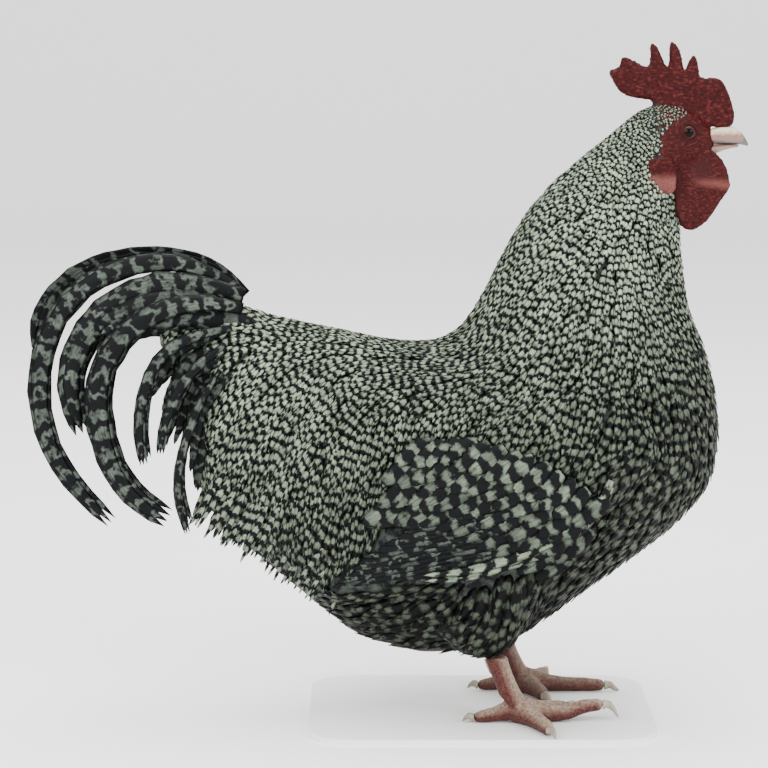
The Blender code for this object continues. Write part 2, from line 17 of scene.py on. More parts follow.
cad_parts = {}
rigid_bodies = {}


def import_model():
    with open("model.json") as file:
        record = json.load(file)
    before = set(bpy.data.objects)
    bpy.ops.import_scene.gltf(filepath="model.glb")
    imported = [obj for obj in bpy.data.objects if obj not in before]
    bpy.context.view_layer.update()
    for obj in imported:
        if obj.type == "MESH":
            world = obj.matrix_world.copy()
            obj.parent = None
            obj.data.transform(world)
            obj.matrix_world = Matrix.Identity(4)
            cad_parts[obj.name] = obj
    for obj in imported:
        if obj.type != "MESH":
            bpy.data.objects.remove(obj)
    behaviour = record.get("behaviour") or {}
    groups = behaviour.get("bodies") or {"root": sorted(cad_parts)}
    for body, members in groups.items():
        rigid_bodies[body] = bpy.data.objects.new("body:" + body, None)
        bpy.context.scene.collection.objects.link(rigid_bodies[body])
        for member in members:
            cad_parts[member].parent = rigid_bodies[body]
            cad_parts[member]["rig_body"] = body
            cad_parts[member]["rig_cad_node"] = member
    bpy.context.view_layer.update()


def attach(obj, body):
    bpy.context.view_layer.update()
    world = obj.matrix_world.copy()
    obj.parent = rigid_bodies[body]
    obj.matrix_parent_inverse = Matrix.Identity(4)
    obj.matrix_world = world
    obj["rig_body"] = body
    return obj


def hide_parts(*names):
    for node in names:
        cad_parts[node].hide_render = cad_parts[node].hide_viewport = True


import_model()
MM = 0.001
LIFT = 4.1 * MM  # the height of the base plate, on which the feet stand

# %% [markdown]
# ## Floor, light and camera
# The bird stands on a plain pale floor that runs up into a plain wall, so that no corner shows. Two wide
# lamps stand in front, one high on each side, a third hangs above, and the room's own light fills the
# shadows. The camera stands a little above the bird's head and looks slightly down at its right side.

# %% The stage
def new_material(name, rough):
    """A material, with its node tree and its main shader."""
    made = bpy.data.materials.new(name)
    made.use_nodes = True
    shader = made.node_tree.nodes["Principled BSDF"]
    shader.inputs["Roughness"].default_value = rough
    return made, made.node_tree, shader


def flat_material(name, colour, rough):
    made, _, shader = new_material(name, rough)
    shader.inputs["Base Color"].default_value = (*colour, 1)
    return made


def mesh_object(name, bm, smooth=True):
    """A new object from a bmesh, which is freed."""
    mesh = bpy.data.meshes.new(name)
    bm.to_mesh(mesh)
    bm.free()
    made = bpy.data.objects.new(name, mesh)
    bpy.context.scene.collection.objects.link(made)
    if smooth:
        mesh.shade_smooth()
    return made


def extrude_run(bm, edges, way):
    """New faces run from the edges, as far and in the direction that `way` says."""
    made = bmesh.ops.extrude_edge_only(bm, edges=edges)["geom"]
    points = [v for v in made if isinstance(v, bmesh.types.BMVert)]
    bmesh.ops.translate(bm, verts=points, vec=way)


def make_floor(size=9.0, wall=4.0, bend=1.2, near=1e-4):
    """A floor that bends up into a wall behind the bird: an edge spun round, and extruded at both ends."""
    bm = bmesh.new()
    ends = [bm.verts.new((x, size / 2, 0)) for x in (-size, size)]
    edge = bm.edges.new(ends)
    bmesh.ops.spin(
        bm, geom=[edge], cent=(0, size / 2, bend), axis=(1, 0, 0), dvec=(0, 0, 0),
        angle=math.pi / 2, steps=12, use_merge=False, use_duplicate=False,
    )
    top = max(v.co.z for v in bm.verts)
    upper = [e for e in bm.edges if all(v.co.z > top - near for v in e.verts)]
    extrude_run(bm, upper, (0, 0, wall))
    lower = [e for e in bm.edges if all(v.co.z < near for v in e.verts)]
    extrude_run(bm, lower, (0, -size, 0))
    bmesh.ops.recalc_face_normals(bm, faces=bm.faces)
    return mesh_object("floor", bm)


floor = make_floor()
floor.data.materials.append(flat_material("pale floor", (0.97, 0.97, 0.97), 0.9))


def area_lamp(name, place, target, size, power):
    lamp = bpy.data.lights.new(name, "AREA")
    lamp.shape = "RECTANGLE"
    lamp.size, lamp.size_y = size
    lamp.energy = power
    made = bpy.data.objects.new(name, lamp)
    made.location = place
    made.rotation_euler = (Vector(target) - Vector(place)).to_track_quat("-Z", "Y").to_euler()
    bpy.context.scene.collection.objects.link(made)


area_lamp("lamp left", (-1.5, -2.3, 1.9), (0, 0, 0.25), (1.6, 1.6), 88)
area_lamp("lamp right", (1.9, -2.0, 1.5), (0, 0, 0.25), (1.4, 1.4), 66)
area_lamp("lamp above", (0.1, 0.2, 2.6), (0, 0, 0.2), (2.2, 2.2), 95)
ROOM_LIGHT = 1.5
world = bpy.data.worlds.new("room")
world.use_nodes = True
room = world.node_tree.nodes["Background"]
room.inputs["Color"].default_value = (1, 1, 1, 1)
room.inputs["Strength"].default_value = ROOM_LIGHT
bpy.context.scene.world = world

# %% The camera
EYE_POINT = Vector((-0.0007, -1.88, 0.465 + LIFT))
AIM_POINT = Vector((-0.0007, 0, 0.224 + LIFT))
lens = bpy.data.cameras.new("camera")
lens.lens = 130.66  # a long lens, in millimetres, on a sensor of full width
lens.sensor_width = 36
camera = bpy.data.objects.new("camera", lens)
camera.location = EYE_POINT
camera.rotation_euler = (AIM_POINT - EYE_POINT).to_track_quat("-Z", "Y").to_euler()
bpy.context.scene.collection.objects.link(camera)
bpy.context.scene.camera = camera

# %% [markdown]
# ## The body's form under the plumage
# The solids of the body are faceted. A copy of them is joined, remeshed with small voxels and smoothed,
# which turns them into one soft form. The folded wings are pressed into it as low swellings, because a
# wing that lies in its place is only a bulge under the coverts.

# %% Copies of the solids
def node_mesh(name, swell=0.0):
    """A bmesh copy of a solid, with its loose triangles merged and its feet at height 0."""
    bm = bmesh.new()
    bm.from_mesh(bpy.data.objects[name].data)
    bmesh.ops.remove_doubles(bm, verts=bm.verts, dist=0.02 * MM)
    bmesh.ops.translate(bm, verts=bm.verts, vec=(0, 0, -LIFT))
    bm.normal_update()
    places = [v.co + v.normal * swell for v in bm.verts]
    for v, place in zip(bm.verts, places):
        v.co = place
    return bm


def node_tree(name):
    bm = node_mesh(name)
    tree = BVHTree.FromBMesh(bm)
    bm.free()
    return tree


def joined_copy(label, names, swell):
    whole = bmesh.new()
    for name in names:
        bm = node_mesh(name, swell)
        scratch = bpy.data.meshes.new("scratch")
        bm.to_mesh(scratch)
        bm.free()
        whole.from_mesh(scratch)
        bpy.data.meshes.remove(scratch)
    return mesh_object(label, whole)


def voxel_remesh(obj, size):
    """The object's mesh becomes one even skin of quads. Overlapping closed shapes grow together."""
    mod = obj.modifiers.new("voxels", "REMESH")
    mod.mode = "VOXEL"
    mod.voxel_size = size
    apply_modifiers(obj)


def apply_modifiers(obj):
    graph = bpy.context.evaluated_depsgraph_get()
    done = bpy.data.meshes.new_from_object(obj.evaluated_get(graph))
    old = obj.data
    obj.modifiers.clear()
    obj.data = done
    bpy.data.meshes.remove(old)
    print(obj.name, len(done.vertices), "points")


def points_of(mesh):
    found = np.empty(len(mesh.vertices) * 3, np.float32)
    mesh.vertices.foreach_get("co", found)
    return found.reshape(-1, 3).astype(float)


def normals_of(mesh):
    found = np.empty(len(mesh.vertices) * 3, np.float32)
    mesh.vertices.foreach_get("normal", found)
    return found.reshape(-1, 3).astype(float)


def put_points(mesh, places):
    mesh.vertices.foreach_set("co", places.astype(np.float32).ravel())
    mesh.update()


def edges_of(mesh):
    found = np.empty(len(mesh.edges) * 2, np.int32)
    mesh.edges.foreach_get("vertices", found)
    return found.reshape(-1, 2)
def tell(mesh, key, values):
    """Stores one number for each point of the mesh, for its finish to read."""
    layer = mesh.attributes.new(key, "FLOAT", "POINT")
    layer.data.foreach_set("value", np.ascontiguousarray(values, np.float32).ravel())

def relax(places, edges, rounds, weight=0.5, only=None):
    """Each point moves towards the middle of its neighbours; `only` scales the move point by point."""
    count = np.bincount(edges.ravel(), minlength=len(places))[:, None]
    share = weight if only is None else weight * only[:, None]
    for _ in range(rounds):
        total = np.zeros_like(places)
        for axis in range(3):
            total[:, axis] = np.bincount(edges[:, 0], places[edges[:, 1], axis], len(places))
            total[:, axis] += np.bincount(edges[:, 1], places[edges[:, 0], axis], len(places))
        places = places + share * (total / count - places)
    return places


def ramp(value, low, high):
    """0 below low, 1 above high, and a smooth rise between."""
    t = np.clip((value - low) / (high - low), 0, 1)
    return t * t * (3 - 2 * t)
def bell(distance, width):
    """1 at distance 0, falling smoothly to nothing over about two widths."""
    return np.exp(-(distance / width) ** 2)


def round_bell(x, z, wide, high):
    """The same over the side view, with a width for each direction."""
    return np.exp(-((x / wide) ** 2 + (z / high) ** 2))


def noise_at(points, sizes):
    """Smooth noise from -1 to 1 at each point, with the size of its lumps along each axis."""
    return np.array([noise.noise(tuple(p / sizes)) for p in points])


BODY = ["head", "neck", "trunk", "tail_base", "thigh_right", "thigh_left"]
BARE = ["comb", "wattle_right", "wattle_left", "earlobe_right", "earlobe_left"]
LEGS = ["shank_right", "shank_left", "foot_right", "foot_left"]
FORM_VOXEL = 4 * MM
FORM_SWELL = 1.1 * MM  # what smoothing takes off
form = joined_copy("form", BODY, 0.3 * MM)
voxel_remesh(form, FORM_VOXEL)
places, edges = points_of(form.data), edges_of(form.data)
places = relax(places, edges, 14)
put_points(form.data, places)
places += normals_of(form.data) * FORM_SWELL

# %% The folded wings as swellings
WING_INSET = 1.5 * MM
WING_DEPTH = 30 * MM  # the form is lifted where it is at most this far under the wing's face
wing_tree = node_tree("wing_right")


def wing_face(x, z):
    """How far out the wing's outer face is at a place in the side view, or 0 beside the wing."""
    hit = wing_tree.ray_cast(Vector((x, -0.3, z)), Vector((0, 1, 0)))[0]
    return -hit.y if hit else 0.0


reach = np.array([wing_face(x, z) for x, _, z in places])
side = np.abs(places[:, 1])
lifted = (reach > 0) & (side > 0.03) & (side < reach) & (side > reach - WING_DEPTH)
places[lifted, 1] = np.sign(places[lifted, 1]) * (reach[lifted] - WING_INSET)
near_wing = np.zeros(len(places))
near_wing[lifted] = 1
for _ in range(4):
    near_wing[edges[:, 0]] = np.maximum(near_wing[edges[:, 0]], near_wing[edges[:, 1]])
    near_wing[edges[:, 1]] = np.maximum(near_wing[edges[:, 1]], near_wing[edges[:, 0]])
places = relax(places, edges, 5, only=near_wing)
put_points(form.data, places)
print("points of the form under the wings", int(lifted.sum()))

# %% [markdown]
# ## The skin
# One skin covers the whole bird. Under the plumage it lies a few millimetres inside the outline, and on
# the face, comb, wattles, lobes, shanks and toes it is the surface that one sees. The shrunk form and
# copies of the bare solids are joined, remeshed with fine voxels and smoothed, so that no seam is left.
# Then the lids, the wattle's fold and the comb's wrinkles are pressed into it.

# %% Join and remesh
COAT = 3.2 * MM  # how deep the skin lies under the plumage
SKIN_VOXEL = 1.35 * MM
SKIN_SWELL = 0.25 * MM  # what smoothing takes off
inner = form.copy()
inner.data = form.data.copy()
bpy.context.scene.collection.objects.link(inner)
form_points = points_of(form.data)
face_share = ramp(form_points[:, 0] * 1000, 158, 182) * ramp(form_points[:, 2] * 1000, 345, 362)
under_coat = COAT * (1 - face_share * 0.85)
put_points(inner.data, form_points - normals_of(form.data) * under_coat[:, None])
bare = joined_copy("bare", BARE + LEGS, 0.0)
bm = bmesh.new()
bm.from_mesh(inner.data)
bm.from_mesh(bare.data)
skin = mesh_object("skin", bm)
bpy.data.objects.remove(inner)
bpy.data.objects.remove(bare)
voxel_remesh(skin, SKIN_VOXEL)
skin_points = relax(points_of(skin.data), edges_of(skin.data), 5)
put_points(skin.data, skin_points)
skin_normals = normals_of(skin.data)
skin_points += skin_normals * SKIN_SWELL

# %% Lids, folds and wrinkles
EYE_X, EYE_Y, EYE_Z = 202.4, 13.0, 394.9  # mm: the eye's centre, on either side of the middle plane


def above_fold(x, z, height):
    """How far a place of the side view is above a slanting line along the wattle's fold, in mm."""
    return z - height + 0.12 * (x - 218)


X, Y, Z = (skin_points * 1000).T
side_y = np.abs(Y)
far = np.hypot(X - EYE_X, Z - EYE_Z)
face = (side_y > 7) * ramp(X, 176, 186) * (1 - ramp(X, 224, 230))
face = face * ramp(Z, 366, 374) * (1 - ramp(Z, 408, 414))
ring = bell(far - 5.0, 1.1) + 0.55 * bell(far - 7.6, 0.9)
socket = -1.7 * (1 - ramp(far, 2.8, 4.3)) - 0.45 * bell(far - 6.4, 0.6)
press = face * (1.25 * ring + socket)
ridged = noise_at(skin_points * 1000, np.array((2.1, 3, 1.25)))
pebble = noise_at(skin_points * 1000, 1.3)
on_comb = ramp(Z, 411, 418) * (X > 148) + ramp(X, 211, 216) * ramp(Z, 398, 402)
on_wattle = (X > 193) * (1 - ramp(Z, 378, 384)) * ramp(Z, 322, 328) * ramp(X, 196, 202) * (side_y > 4)
on_lobe = (X > 175) * (X < 197) * ramp(Z, 350, 356) * (1 - ramp(Z, 378, 381)) * (side_y > 19)
press += np.clip(on_comb, 0, 1) * (0.55 * ridged + 0.4 * pebble)
press += on_wattle * (0.3 * ridged + 0.35 * pebble)
fold = bell(above_fold(X, Z, 361), 2.6) - 0.9 * bell(above_fold(X, Z, 355.5), 1.7)
press += on_wattle * ramp(X, 203, 212) * (1 - ramp(X, 222, 229)) * fold * 1.5
press -= on_wattle * 1.5 * round_bell(X - 212, Z - 372, 6, 6)
press += on_lobe * (0.35 * pebble - 0.9 * round_bell(X - 184.5, Z - 371, 4, 4))
press += face * 0.28 * pebble * ramp(far, 7, 10)
press += (Z < 46) * 0.12 * pebble  # shanks and toes
skin_points += skin_normals * (press * MM)[:, None]
put_points(skin.data, skin_points)

# %% [markdown]
# Only the bare parts need their fine points. The skin under the feathers is thinned out, which leaves
# triangles for the plumage.

# %% Thin the hidden skin
group = skin.vertex_groups.new(name="hidden")
hidden = (1 - ramp(X, 166, 178) * ramp(Z, 318, 326)) * ramp(Z, 52, 62)
group.add([int(i) for i in np.nonzero(hidden > 0.5)[0]], 1.0, "REPLACE")
thin = skin.modifiers.new("thin", "DECIMATE")
thin.ratio = 0.34
thin.vertex_group = "hidden"
thin.vertex_group_factor = 1.0
apply_modifiers(skin)
skin.vertex_groups.clear()
skin.data.shade_smooth()
for name in BODY + BARE + LEGS + ["wing_right", "wing_left"]:
    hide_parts(name)

# %% [markdown]
# ## Feather by feather
# A feather is a thin closed vane: a flat tube of four sides, or eight on the long feathers, arched across
# its width. One such tube is made and cut into lengths, and numbers then say how each feather lies: a line
# along the skin, a width that grows and tapers, and a root tucked under the feathers before it. Bars are
# counted in millimetres from the root, so they cross each vane as they grow.

# %% The template vane
def vane_template(lengths, sides=4):
    """Across, up and along of each corner of a flat tube, and its faces."""
    bm = bmesh.new()
    bmesh.ops.create_cone(bm, cap_ends=True, segments=sides, radius1=1, radius2=1, depth=1)
    longs = [e for e in bm.edges if abs(e.verts[0].co.z - e.verts[1].co.z) > 0.5]
    bmesh.ops.subdivide_edges(bm, edges=longs, cuts=lengths - 1, use_grid_fill=True)
    bmesh.ops.triangulate(bm, faces=bm.faces)
    bmesh.ops.recalc_face_normals(bm, faces=bm.faces)
    corners = np.array([v.co for v in bm.verts])
    faces = np.array([[v.index for v in f.verts] for f in bm.faces], np.int32)
    bm.free()
    return corners[:, 0], corners[:, 1], corners[:, 2] + 0.5, faces


def vane_mesh(name, lines, ups, widths, facts, template, thick, camber=0.18):
    """One joined mesh of many vanes. lines and ups are (count, stations, 3), widths (count, stations)."""
    across, up, along, faces = template
    count, stations, _ = lines.shape
    station = np.rint(along * (stations - 1)).astype(int)
    ahead = np.gradient(lines, axis=1)
    ahead /= np.linalg.norm(ahead, axis=2, keepdims=True) + 1e-12
    sideways = np.cross(ahead, ups)
    sideways /= np.linalg.norm(sideways, axis=2, keepdims=True) + 1e-12
    normal = np.cross(sideways, ahead)
    half = widths[:, station, None] / 2
    rise = up[None, :, None] * thick - camber * half * (across**2)[None, :, None]
    points = lines[:, station] + sideways[:, station] * across[None, :, None] * half
    points = points + normal[:, station] * rise
    every = (faces[None] + (np.arange(count) * len(across))[:, None, None]).reshape(-1, 3)
    mesh = bpy.data.meshes.new(name)
    mesh.vertices.add(count * len(across))
    mesh.vertices.foreach_set("co", points.astype(np.float32).ravel())
    mesh.loops.add(len(every) * 3)
    mesh.loops.foreach_set("vertex_index", every.astype(np.int32).ravel())
    mesh.polygons.add(len(every))
    mesh.polygons.foreach_set("loop_start", np.arange(0, len(every) * 3, 3, dtype=np.int32))
    mesh.update(calc_edges=True)
    mesh.shade_smooth()
    steps = np.linalg.norm(np.diff(lines, axis=1), axis=2)
    run = np.concatenate([np.zeros((count, 1)), np.cumsum(steps, axis=1)], axis=1)
    tell(mesh, "bar", run[:, station] * 1000 / facts["period"][:, None] + facts["phase"][:, None])
    tell(mesh, "across", np.broadcast_to(across, (count, len(across))))
    for key in ("tone", "pale", "brightness_and_painted_shade"):
        tell(mesh, key, np.broadcast_to(facts[key][:, None], (count, len(across))))
    patch = np.stack([across * 0.0015, (along - 0.5) * 0.003], 1)
    spots = facts["spot"][:, None, :] + patch[None]
    uv = mesh.uv_layers.new(name="OFBake")
    uv.data.foreach_set("uv", spots.reshape(-1, 2)[every.ravel()].astype(np.float32).ravel())
    made = bpy.data.objects.new(name, mesh)
    bpy.context.scene.collection.objects.link(made)
    print(name, count, "feathers", len(every), "triangles")
    return made

# %% [markdown]
# The lie of the plumage is a field over the side of the bird. Arrows at named places say which way the
# feathers point there, how far apart their roots are, how long and wide they are and how they are barred.
# Between the arrows the field is a smooth mixture. On the bird's narrow faces, such as the breast's front
# or the back's top, the same arrow is laid flat on the surface.

# %% The field of the plumage
FIELD = np.array([
    # x, z, direction in degrees, spacing, length, width, bar period, pale share, brightness; the pale share
    # and brightness fall on the lower breast and belly, partly the plumage's own tone and partly painted
    # shade
    (214, 404, 175, 1.9, 4, 1.7, 2.2, 0.42, 0.70),
    (195, 412, 185, 2.0, 4.5, 1.9, 2.3, 0.45, 0.80),
    (178, 410, 205, 2.2, 6, 2.2, 2.8, 0.50, 0.90),
    (178, 392, 230, 2.4, 7, 2.6, 3.2, 0.55, 0.95),
    (165, 400, 222, 2.8, 9, 3.2, 3.8, 0.55, 1.0),
    (165, 375, 238, 3.2, 11, 3.8, 4.4, 0.60, 1.05),
    (145, 385, 225, 3.2, 12, 3.6, 4.6, 0.58, 1.0),
    (190, 345, 262, 3.6, 12, 4.4, 4.8, 0.60, 1.0),
    (160, 345, 245, 3.9, 15, 4.6, 5.4, 0.62, 1.10),
    (120, 360, 228, 3.8, 15, 4.2, 5.2, 0.58, 1.0),
    (198, 310, 264, 4.2, 15, 4.8, 5.8, 0.58, 0.95),
    (165, 305, 258, 4.4, 19, 4.8, 6.4, 0.62, 1.05),
    (120, 320, 242, 4.4, 20, 4.6, 6.4, 0.60, 1.0),
    (88, 325, 232, 4.2, 18, 4.4, 6.0, 0.52, 0.85),
    (202, 270, 262, 4.8, 17, 5.6, 7.0, 0.52, 0.85),
    (160, 265, 262, 4.8, 22, 5.0, 7.2, 0.60, 0.95),
    (115, 275, 252, 4.8, 23, 4.8, 7.2, 0.60, 0.98),
    (75, 285, 240, 4.6, 22, 4.4, 6.6, 0.52, 0.85),
    (222, 220, 262, 5.6, 18, 7.2, 9.0, 0.48, 0.80),
    (190, 220, 258, 5.6, 18, 6.8, 8.8, 0.46, 0.75),
    (150, 225, 255, 5.2, 20, 5.4, 7.6, 0.54, 0.85),
    (105, 235, 250, 5.0, 23, 5.0, 7.4, 0.60, 0.95),
    (66, 250, 225, 4.6, 20, 4.8, 6.6, 0.50, 0.85),
    (218, 180, 245, 6.0, 19, 8.0, 10, 0.42, 0.60),
    (190, 150, 228, 6.4, 20, 8.6, 11, 0.42, 0.58),
    (160, 165, 225, 6.4, 20, 8.4, 11, 0.42, 0.55),
    (150, 110, 220, 6.8, 22, 9.0, 12, 0.40, 0.50),
    (110, 80, 232, 7.0, 24, 9.6, 13, 0.38, 0.45),
    (80, 95, 262, 6.6, 26, 8.6, 14, 0.36, 0.45),
    (60, 50, 225, 6.4, 22, 8.6, 13, 0.34, 0.40),
    (30, 60, 205, 6.8, 24, 9.0, 14, 0.34, 0.40),
    (0, 60, 190, 6.4, 22, 8.0, 13, 0.34, 0.42),
    (-30, 75, 200, 6.0, 22, 7.0, 11, 0.38, 0.50),
    (30, 245, 190, 4.4, 18, 4.6, 6.0, 0.46, 0.80),
    (0, 240, 205, 4.4, 19, 4.4, 6.0, 0.55, 0.90),
    (50, 215, 245, 4.6, 20, 4.6, 6.4, 0.56, 0.90),
    (-40, 262, 190, 4.2, 18, 4.2, 5.8, 0.50, 0.90),
    (-40, 225, 232, 4.4, 24, 4.2, 6.6, 0.56, 0.92),
    (-85, 268, 192, 4.6, 20, 4.8, 7.0, 0.50, 0.95),
    (-85, 235, 228, 4.6, 28, 4.2, 7.4, 0.54, 0.95),
    (15, 195, 258, 4.6, 24, 4.4, 7.0, 0.56, 0.90),
    (-20, 180, 252, 4.6, 28, 4.2, 7.4, 0.52, 0.80),
    (-60, 190, 242, 4.6, 32, 4.2, 7.8, 0.52, 0.80),
    (-100, 200, 238, 4.8, 34, 4.4, 8.4, 0.50, 0.75),
    (-20, 130, 258, 5.0, 28, 4.6, 8.4, 0.46, 0.65),
    (-60, 140, 250, 5.0, 32, 4.4, 9.0, 0.46, 0.62),
    (-100, 150, 246, 5.0, 34, 4.6, 9.6, 0.46, 0.62),
    (-60, 90, 262, 5.4, 26, 5.0, 10, 0.42, 0.55),
])


def field_at(points):
    """The field's values at points, with the direction as a vector in the side plane."""
    x, z = points[:, 0:1] * 1000, points[:, 2:3] * 1000
    weight = 1 / ((x - FIELD[:, 0]) ** 2 + (z - FIELD[:, 1]) ** 2 + 9) ** 1.8
    weight /= weight.sum(1, keepdims=True)
    turn = np.radians(FIELD[:, 2])
    way = np.stack([weight @ np.cos(turn), np.zeros(len(points)), weight @ np.sin(turn)], 1)
    values = weight @ FIELD[:, 3:]
    # painted shade: the brightness is lowered further towards the bottom of the body, most of all on the
    # belly in front
    low = 1 - ramp(z[:, 0] - 0.35 * x[:, 0], 150, 290)
    values[:, 5] *= 1 - 0.42 * low * ramp(x[:, 0], -150, 60) - 0.2 * low
    return way / np.linalg.norm(way, axis=1, keepdims=True), values


form_tree = BVHTree.FromPolygons(
    [tuple(v) for v in points_of(form.data)], [tuple(p.vertices) for p in form.data.polygons]
)


def inside_outline(points, outline):
    """Which points lie in a closed outline of (x, z) in millimetres, seen from the side."""
    x, z = points[:, 0] * 1000, points[:, 2] * 1000
    found = np.zeros(len(points), bool)
    for (ax, az), (bx, bz) in zip(outline, outline[1:] + outline[:1]):
        if az == bz:
            continue
        crosses = ((az > z) != (bz > z)) & (x < (bx - ax) * (z - az) / (bz - az) + ax)
        found ^= crosses
    return found


# outlines in the side view, as (x, z) in millimetres: the bare face, and the wing that shows
FACE_BARE = [
    (187, 389), (187, 395), (194, 402), (203, 405), (207, 410), (226, 402), (230, 384), (222, 366),
    (206, 363), (196, 368), (191, 376), (186, 380), (186, 384),
]
WING_SHOWN = [
    (150, 168), (104, 172), (66, 181), (28, 184), (8, 158), (-18, 124), (-40, 108), (-44, 84),
    (-20, 84), (4, 91), (28, 98), (58, 100), (96, 112), (122, 127), (140, 143),
]


def scatter(amount, seed):
    """Points spread over the form by area, thinned until each keeps its own spacing."""
    rng = np.random.default_rng(seed)
    mesh = form.data
    mesh.calc_loop_triangles()
    corners = np.array([t.vertices for t in mesh.loop_triangles])
    pts = points_of(mesh)
    a, b, c = pts[corners[:, 0]], pts[corners[:, 1]], pts[corners[:, 2]]
    area = np.linalg.norm(np.cross(b - a, c - a), axis=1) / 2
    centre_z = (a[:, 2] + b[:, 2] + c[:, 2]) / 3
    centre_x = (a[:, 0] + b[:, 0] + c[:, 0]) / 3
    area = area * (1 + 5 * ramp(centre_x * 1000, 130, 185) * ramp(centre_z * 1000, 330, 380))
    pick = rng.choice(len(corners), amount, p=area / area.sum())
    r1, r2 = np.sqrt(rng.random(amount))[:, None], rng.random(amount)[:, None]
    spots = a[pick] * (1 - r1) + b[pick] * r1 * (1 - r2) + c[pick] * r1 * r2
    gaps = field_at(spots)[1][:, 0] * MM * 0.86
    cell = 8 * MM
    grid, kept = {}, []
    for i, (spot, gap) in enumerate(zip(spots, gaps)):
        key = tuple((spot // cell).astype(int))
        near = [
            k for dx in (-1, 0, 1) for dy in (-1, 0, 1) for dz in (-1, 0, 1)
            for k in grid.get((key[0] + dx, key[1] + dy, key[2] + dz), ())
        ]
        if near and (((spots[near] - spot) ** 2).sum(1) < gap * gap).any():
            continue
        grid.setdefault(key, []).append(i)
        kept.append(i)
    return spots[kept]


roots = scatter(70000, 11)
in_face = inside_outline(roots, FACE_BARE) & (np.abs(roots[:, 1]) > 6 * MM)
in_wing = inside_outline(roots, WING_SHOWN) & (np.abs(roots[:, 1]) > 40 * MM)
in_foot = roots[:, 2] < 46 * MM
under_comb = (np.abs(roots[:, 1]) < 4 * MM) & (roots[:, 2] > 404 * MM) & (roots[:, 0] > 168 * MM)
before_eye = (roots[:, 0] > 204 * MM) & (roots[:, 2] >= 340 * MM)
roots = roots[~(in_face | in_wing | in_foot | under_comb | before_eye)]
print(len(roots), "body feathers")

# %% [markdown]
# ## The small feathers
# Each feather's line is walked over the form in short steps from its root, turning with the field, so
# that a long hackle bends with the neck. Its root lies deep in the coat and its tip at the outline.

# %% Walk the lines
STATIONS = 6
TEMPLATE = vane_template(STATIONS - 1)
VANE_SHAPE = np.array([0.55, 0.9, 1.0, 0.92, 0.66, 0.10])  # the width at each station, from root to tip
ROOT_DEEP, TIP_HIGH = 2.2 * MM, 0.3 * MM  # under and above the form, on a feather of middling width


def walk(starts, lengths, turn, deep, high):
    """Lines over the form: (count, stations, 3), and the surface's normals along them."""
    step = lengths / (STATIONS - 1)
    here = starts.copy()
    lines, ups = [], []
    for k in range(STATIONS):
        normals = np.empty_like(here)
        for i, place in enumerate(here):
            near, normal, _, _ = form_tree.find_nearest(Vector(place))
            here[i], normals[i] = near, normal
        share = k / (STATIONS - 1)
        height = -deep + (deep + high) * share ** 0.8
        lines.append(here + normals * height[:, None])
        ups.append(normals)
        way = field_at(here)[0]
        side = np.cross(normals, way)
        way = way * np.cos(turn)[:, None] + side * np.sin(turn)[:, None]
        way -= normals * (way * normals).sum(1, keepdims=True)
        way /= np.linalg.norm(way, axis=1, keepdims=True) + 1e-9
        here = here + way * step[:, None]
    return np.stack(lines, 1), np.stack(ups, 1)


def rib_spot(points):
    """The place of a point on an unwrap of the body: along it from head to tail, and round it."""
    x, y, z = points.T * 1000
    along = np.clip((260 - (0.62 * x + 0.78 * (z - 150))) / 560, 0.01, 0.99)
    middle = 150 + np.clip(x - 60, 0, 140) * 1.1
    around = np.arctan2(y, z - middle) / (2 * math.pi) + 0.5
    return np.stack([np.clip(around, 0.01, 0.99), along], 1)


def small_feathers(name, starts, seed):
    rng = np.random.default_rng(seed)
    count = len(starts)
    way, values = field_at(starts)
    lengths = values[:, 1] * MM * rng.uniform(0.85, 1.15, count)
    turn = rng.normal(0, 0.10, count)
    scale = np.clip(values[:, 2] / 5, 0.45, 1.5)
    high = TIP_HIGH * scale + rng.uniform(0, 0.5, count) * MM * scale
    lines, ups = walk(starts, lengths, turn, ROOT_DEEP * scale, high)
    widths = values[:, 2:3] * MM * rng.uniform(0.9, 1.15, (count, 1)) * VANE_SHAPE[None] * 1.12
    place = starts * 1000
    wave = noise_at(place, 16)
    # neighbours keep step with one another, so that the bars join into waves over the coat
    travelled = (place * way).sum(1)
    facts = {
        "period": values[:, 3] * rng.uniform(0.93, 1.07, count),
        "phase": travelled / values[:, 3] * 0.35 + wave * 0.9 + rng.normal(0, 0.22, count),
        "tone": rng.random(count),
        "pale": np.clip(values[:, 4] + rng.normal(0, 0.04, count), 0.1, 0.9),
        "brightness_and_painted_shade": np.clip(values[:, 5] * rng.uniform(0.86, 1.12, count), 0.1, 1.3),
        "spot": rib_spot(starts),
    }
    made = vane_mesh(name, lines, ups, widths, facts, TEMPLATE, 0.3 * MM)
    made.data.materials.append(FEATHER)
    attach(made, "root")
    return made


# %% [markdown]
# The finish draws the pale and dark bars from the count along the feather, bends each bar into a shallow
# arrow across the shaft, and roughens the edges with the barbs. One function makes the finish of every
# kind of feather; the numbers that each feather carries make it different from its neighbours.

# %% The finish of a feather
def link(tree, a, b):
    tree.links.new(a, b)


def maths(tree, kind, one, two=None):
    node = tree.nodes.new("ShaderNodeMath")
    node.operation = kind
    for socket, value in zip(node.inputs, (one, two)):
        if value is None:
            continue
        if isinstance(value, (int, float)):
            socket.default_value = value
        else:
            link(tree, value, socket)
    return node.outputs[0]


def told(tree, key):
    node = tree.nodes.new("ShaderNodeAttribute")
    node.attribute_name = key
    return node.outputs["Fac"]


def colour_ramp(tree, value, stops):
    node = tree.nodes.new("ShaderNodeValToRGB")
    while len(node.color_ramp.elements) < len(stops):
        node.color_ramp.elements.new(0.5)
    for element, (at, colour) in zip(node.color_ramp.elements, stops):
        element.position = at
        element.color = (*colour, 1)
    link(tree, value, node.inputs[0])
    return node.outputs[0]


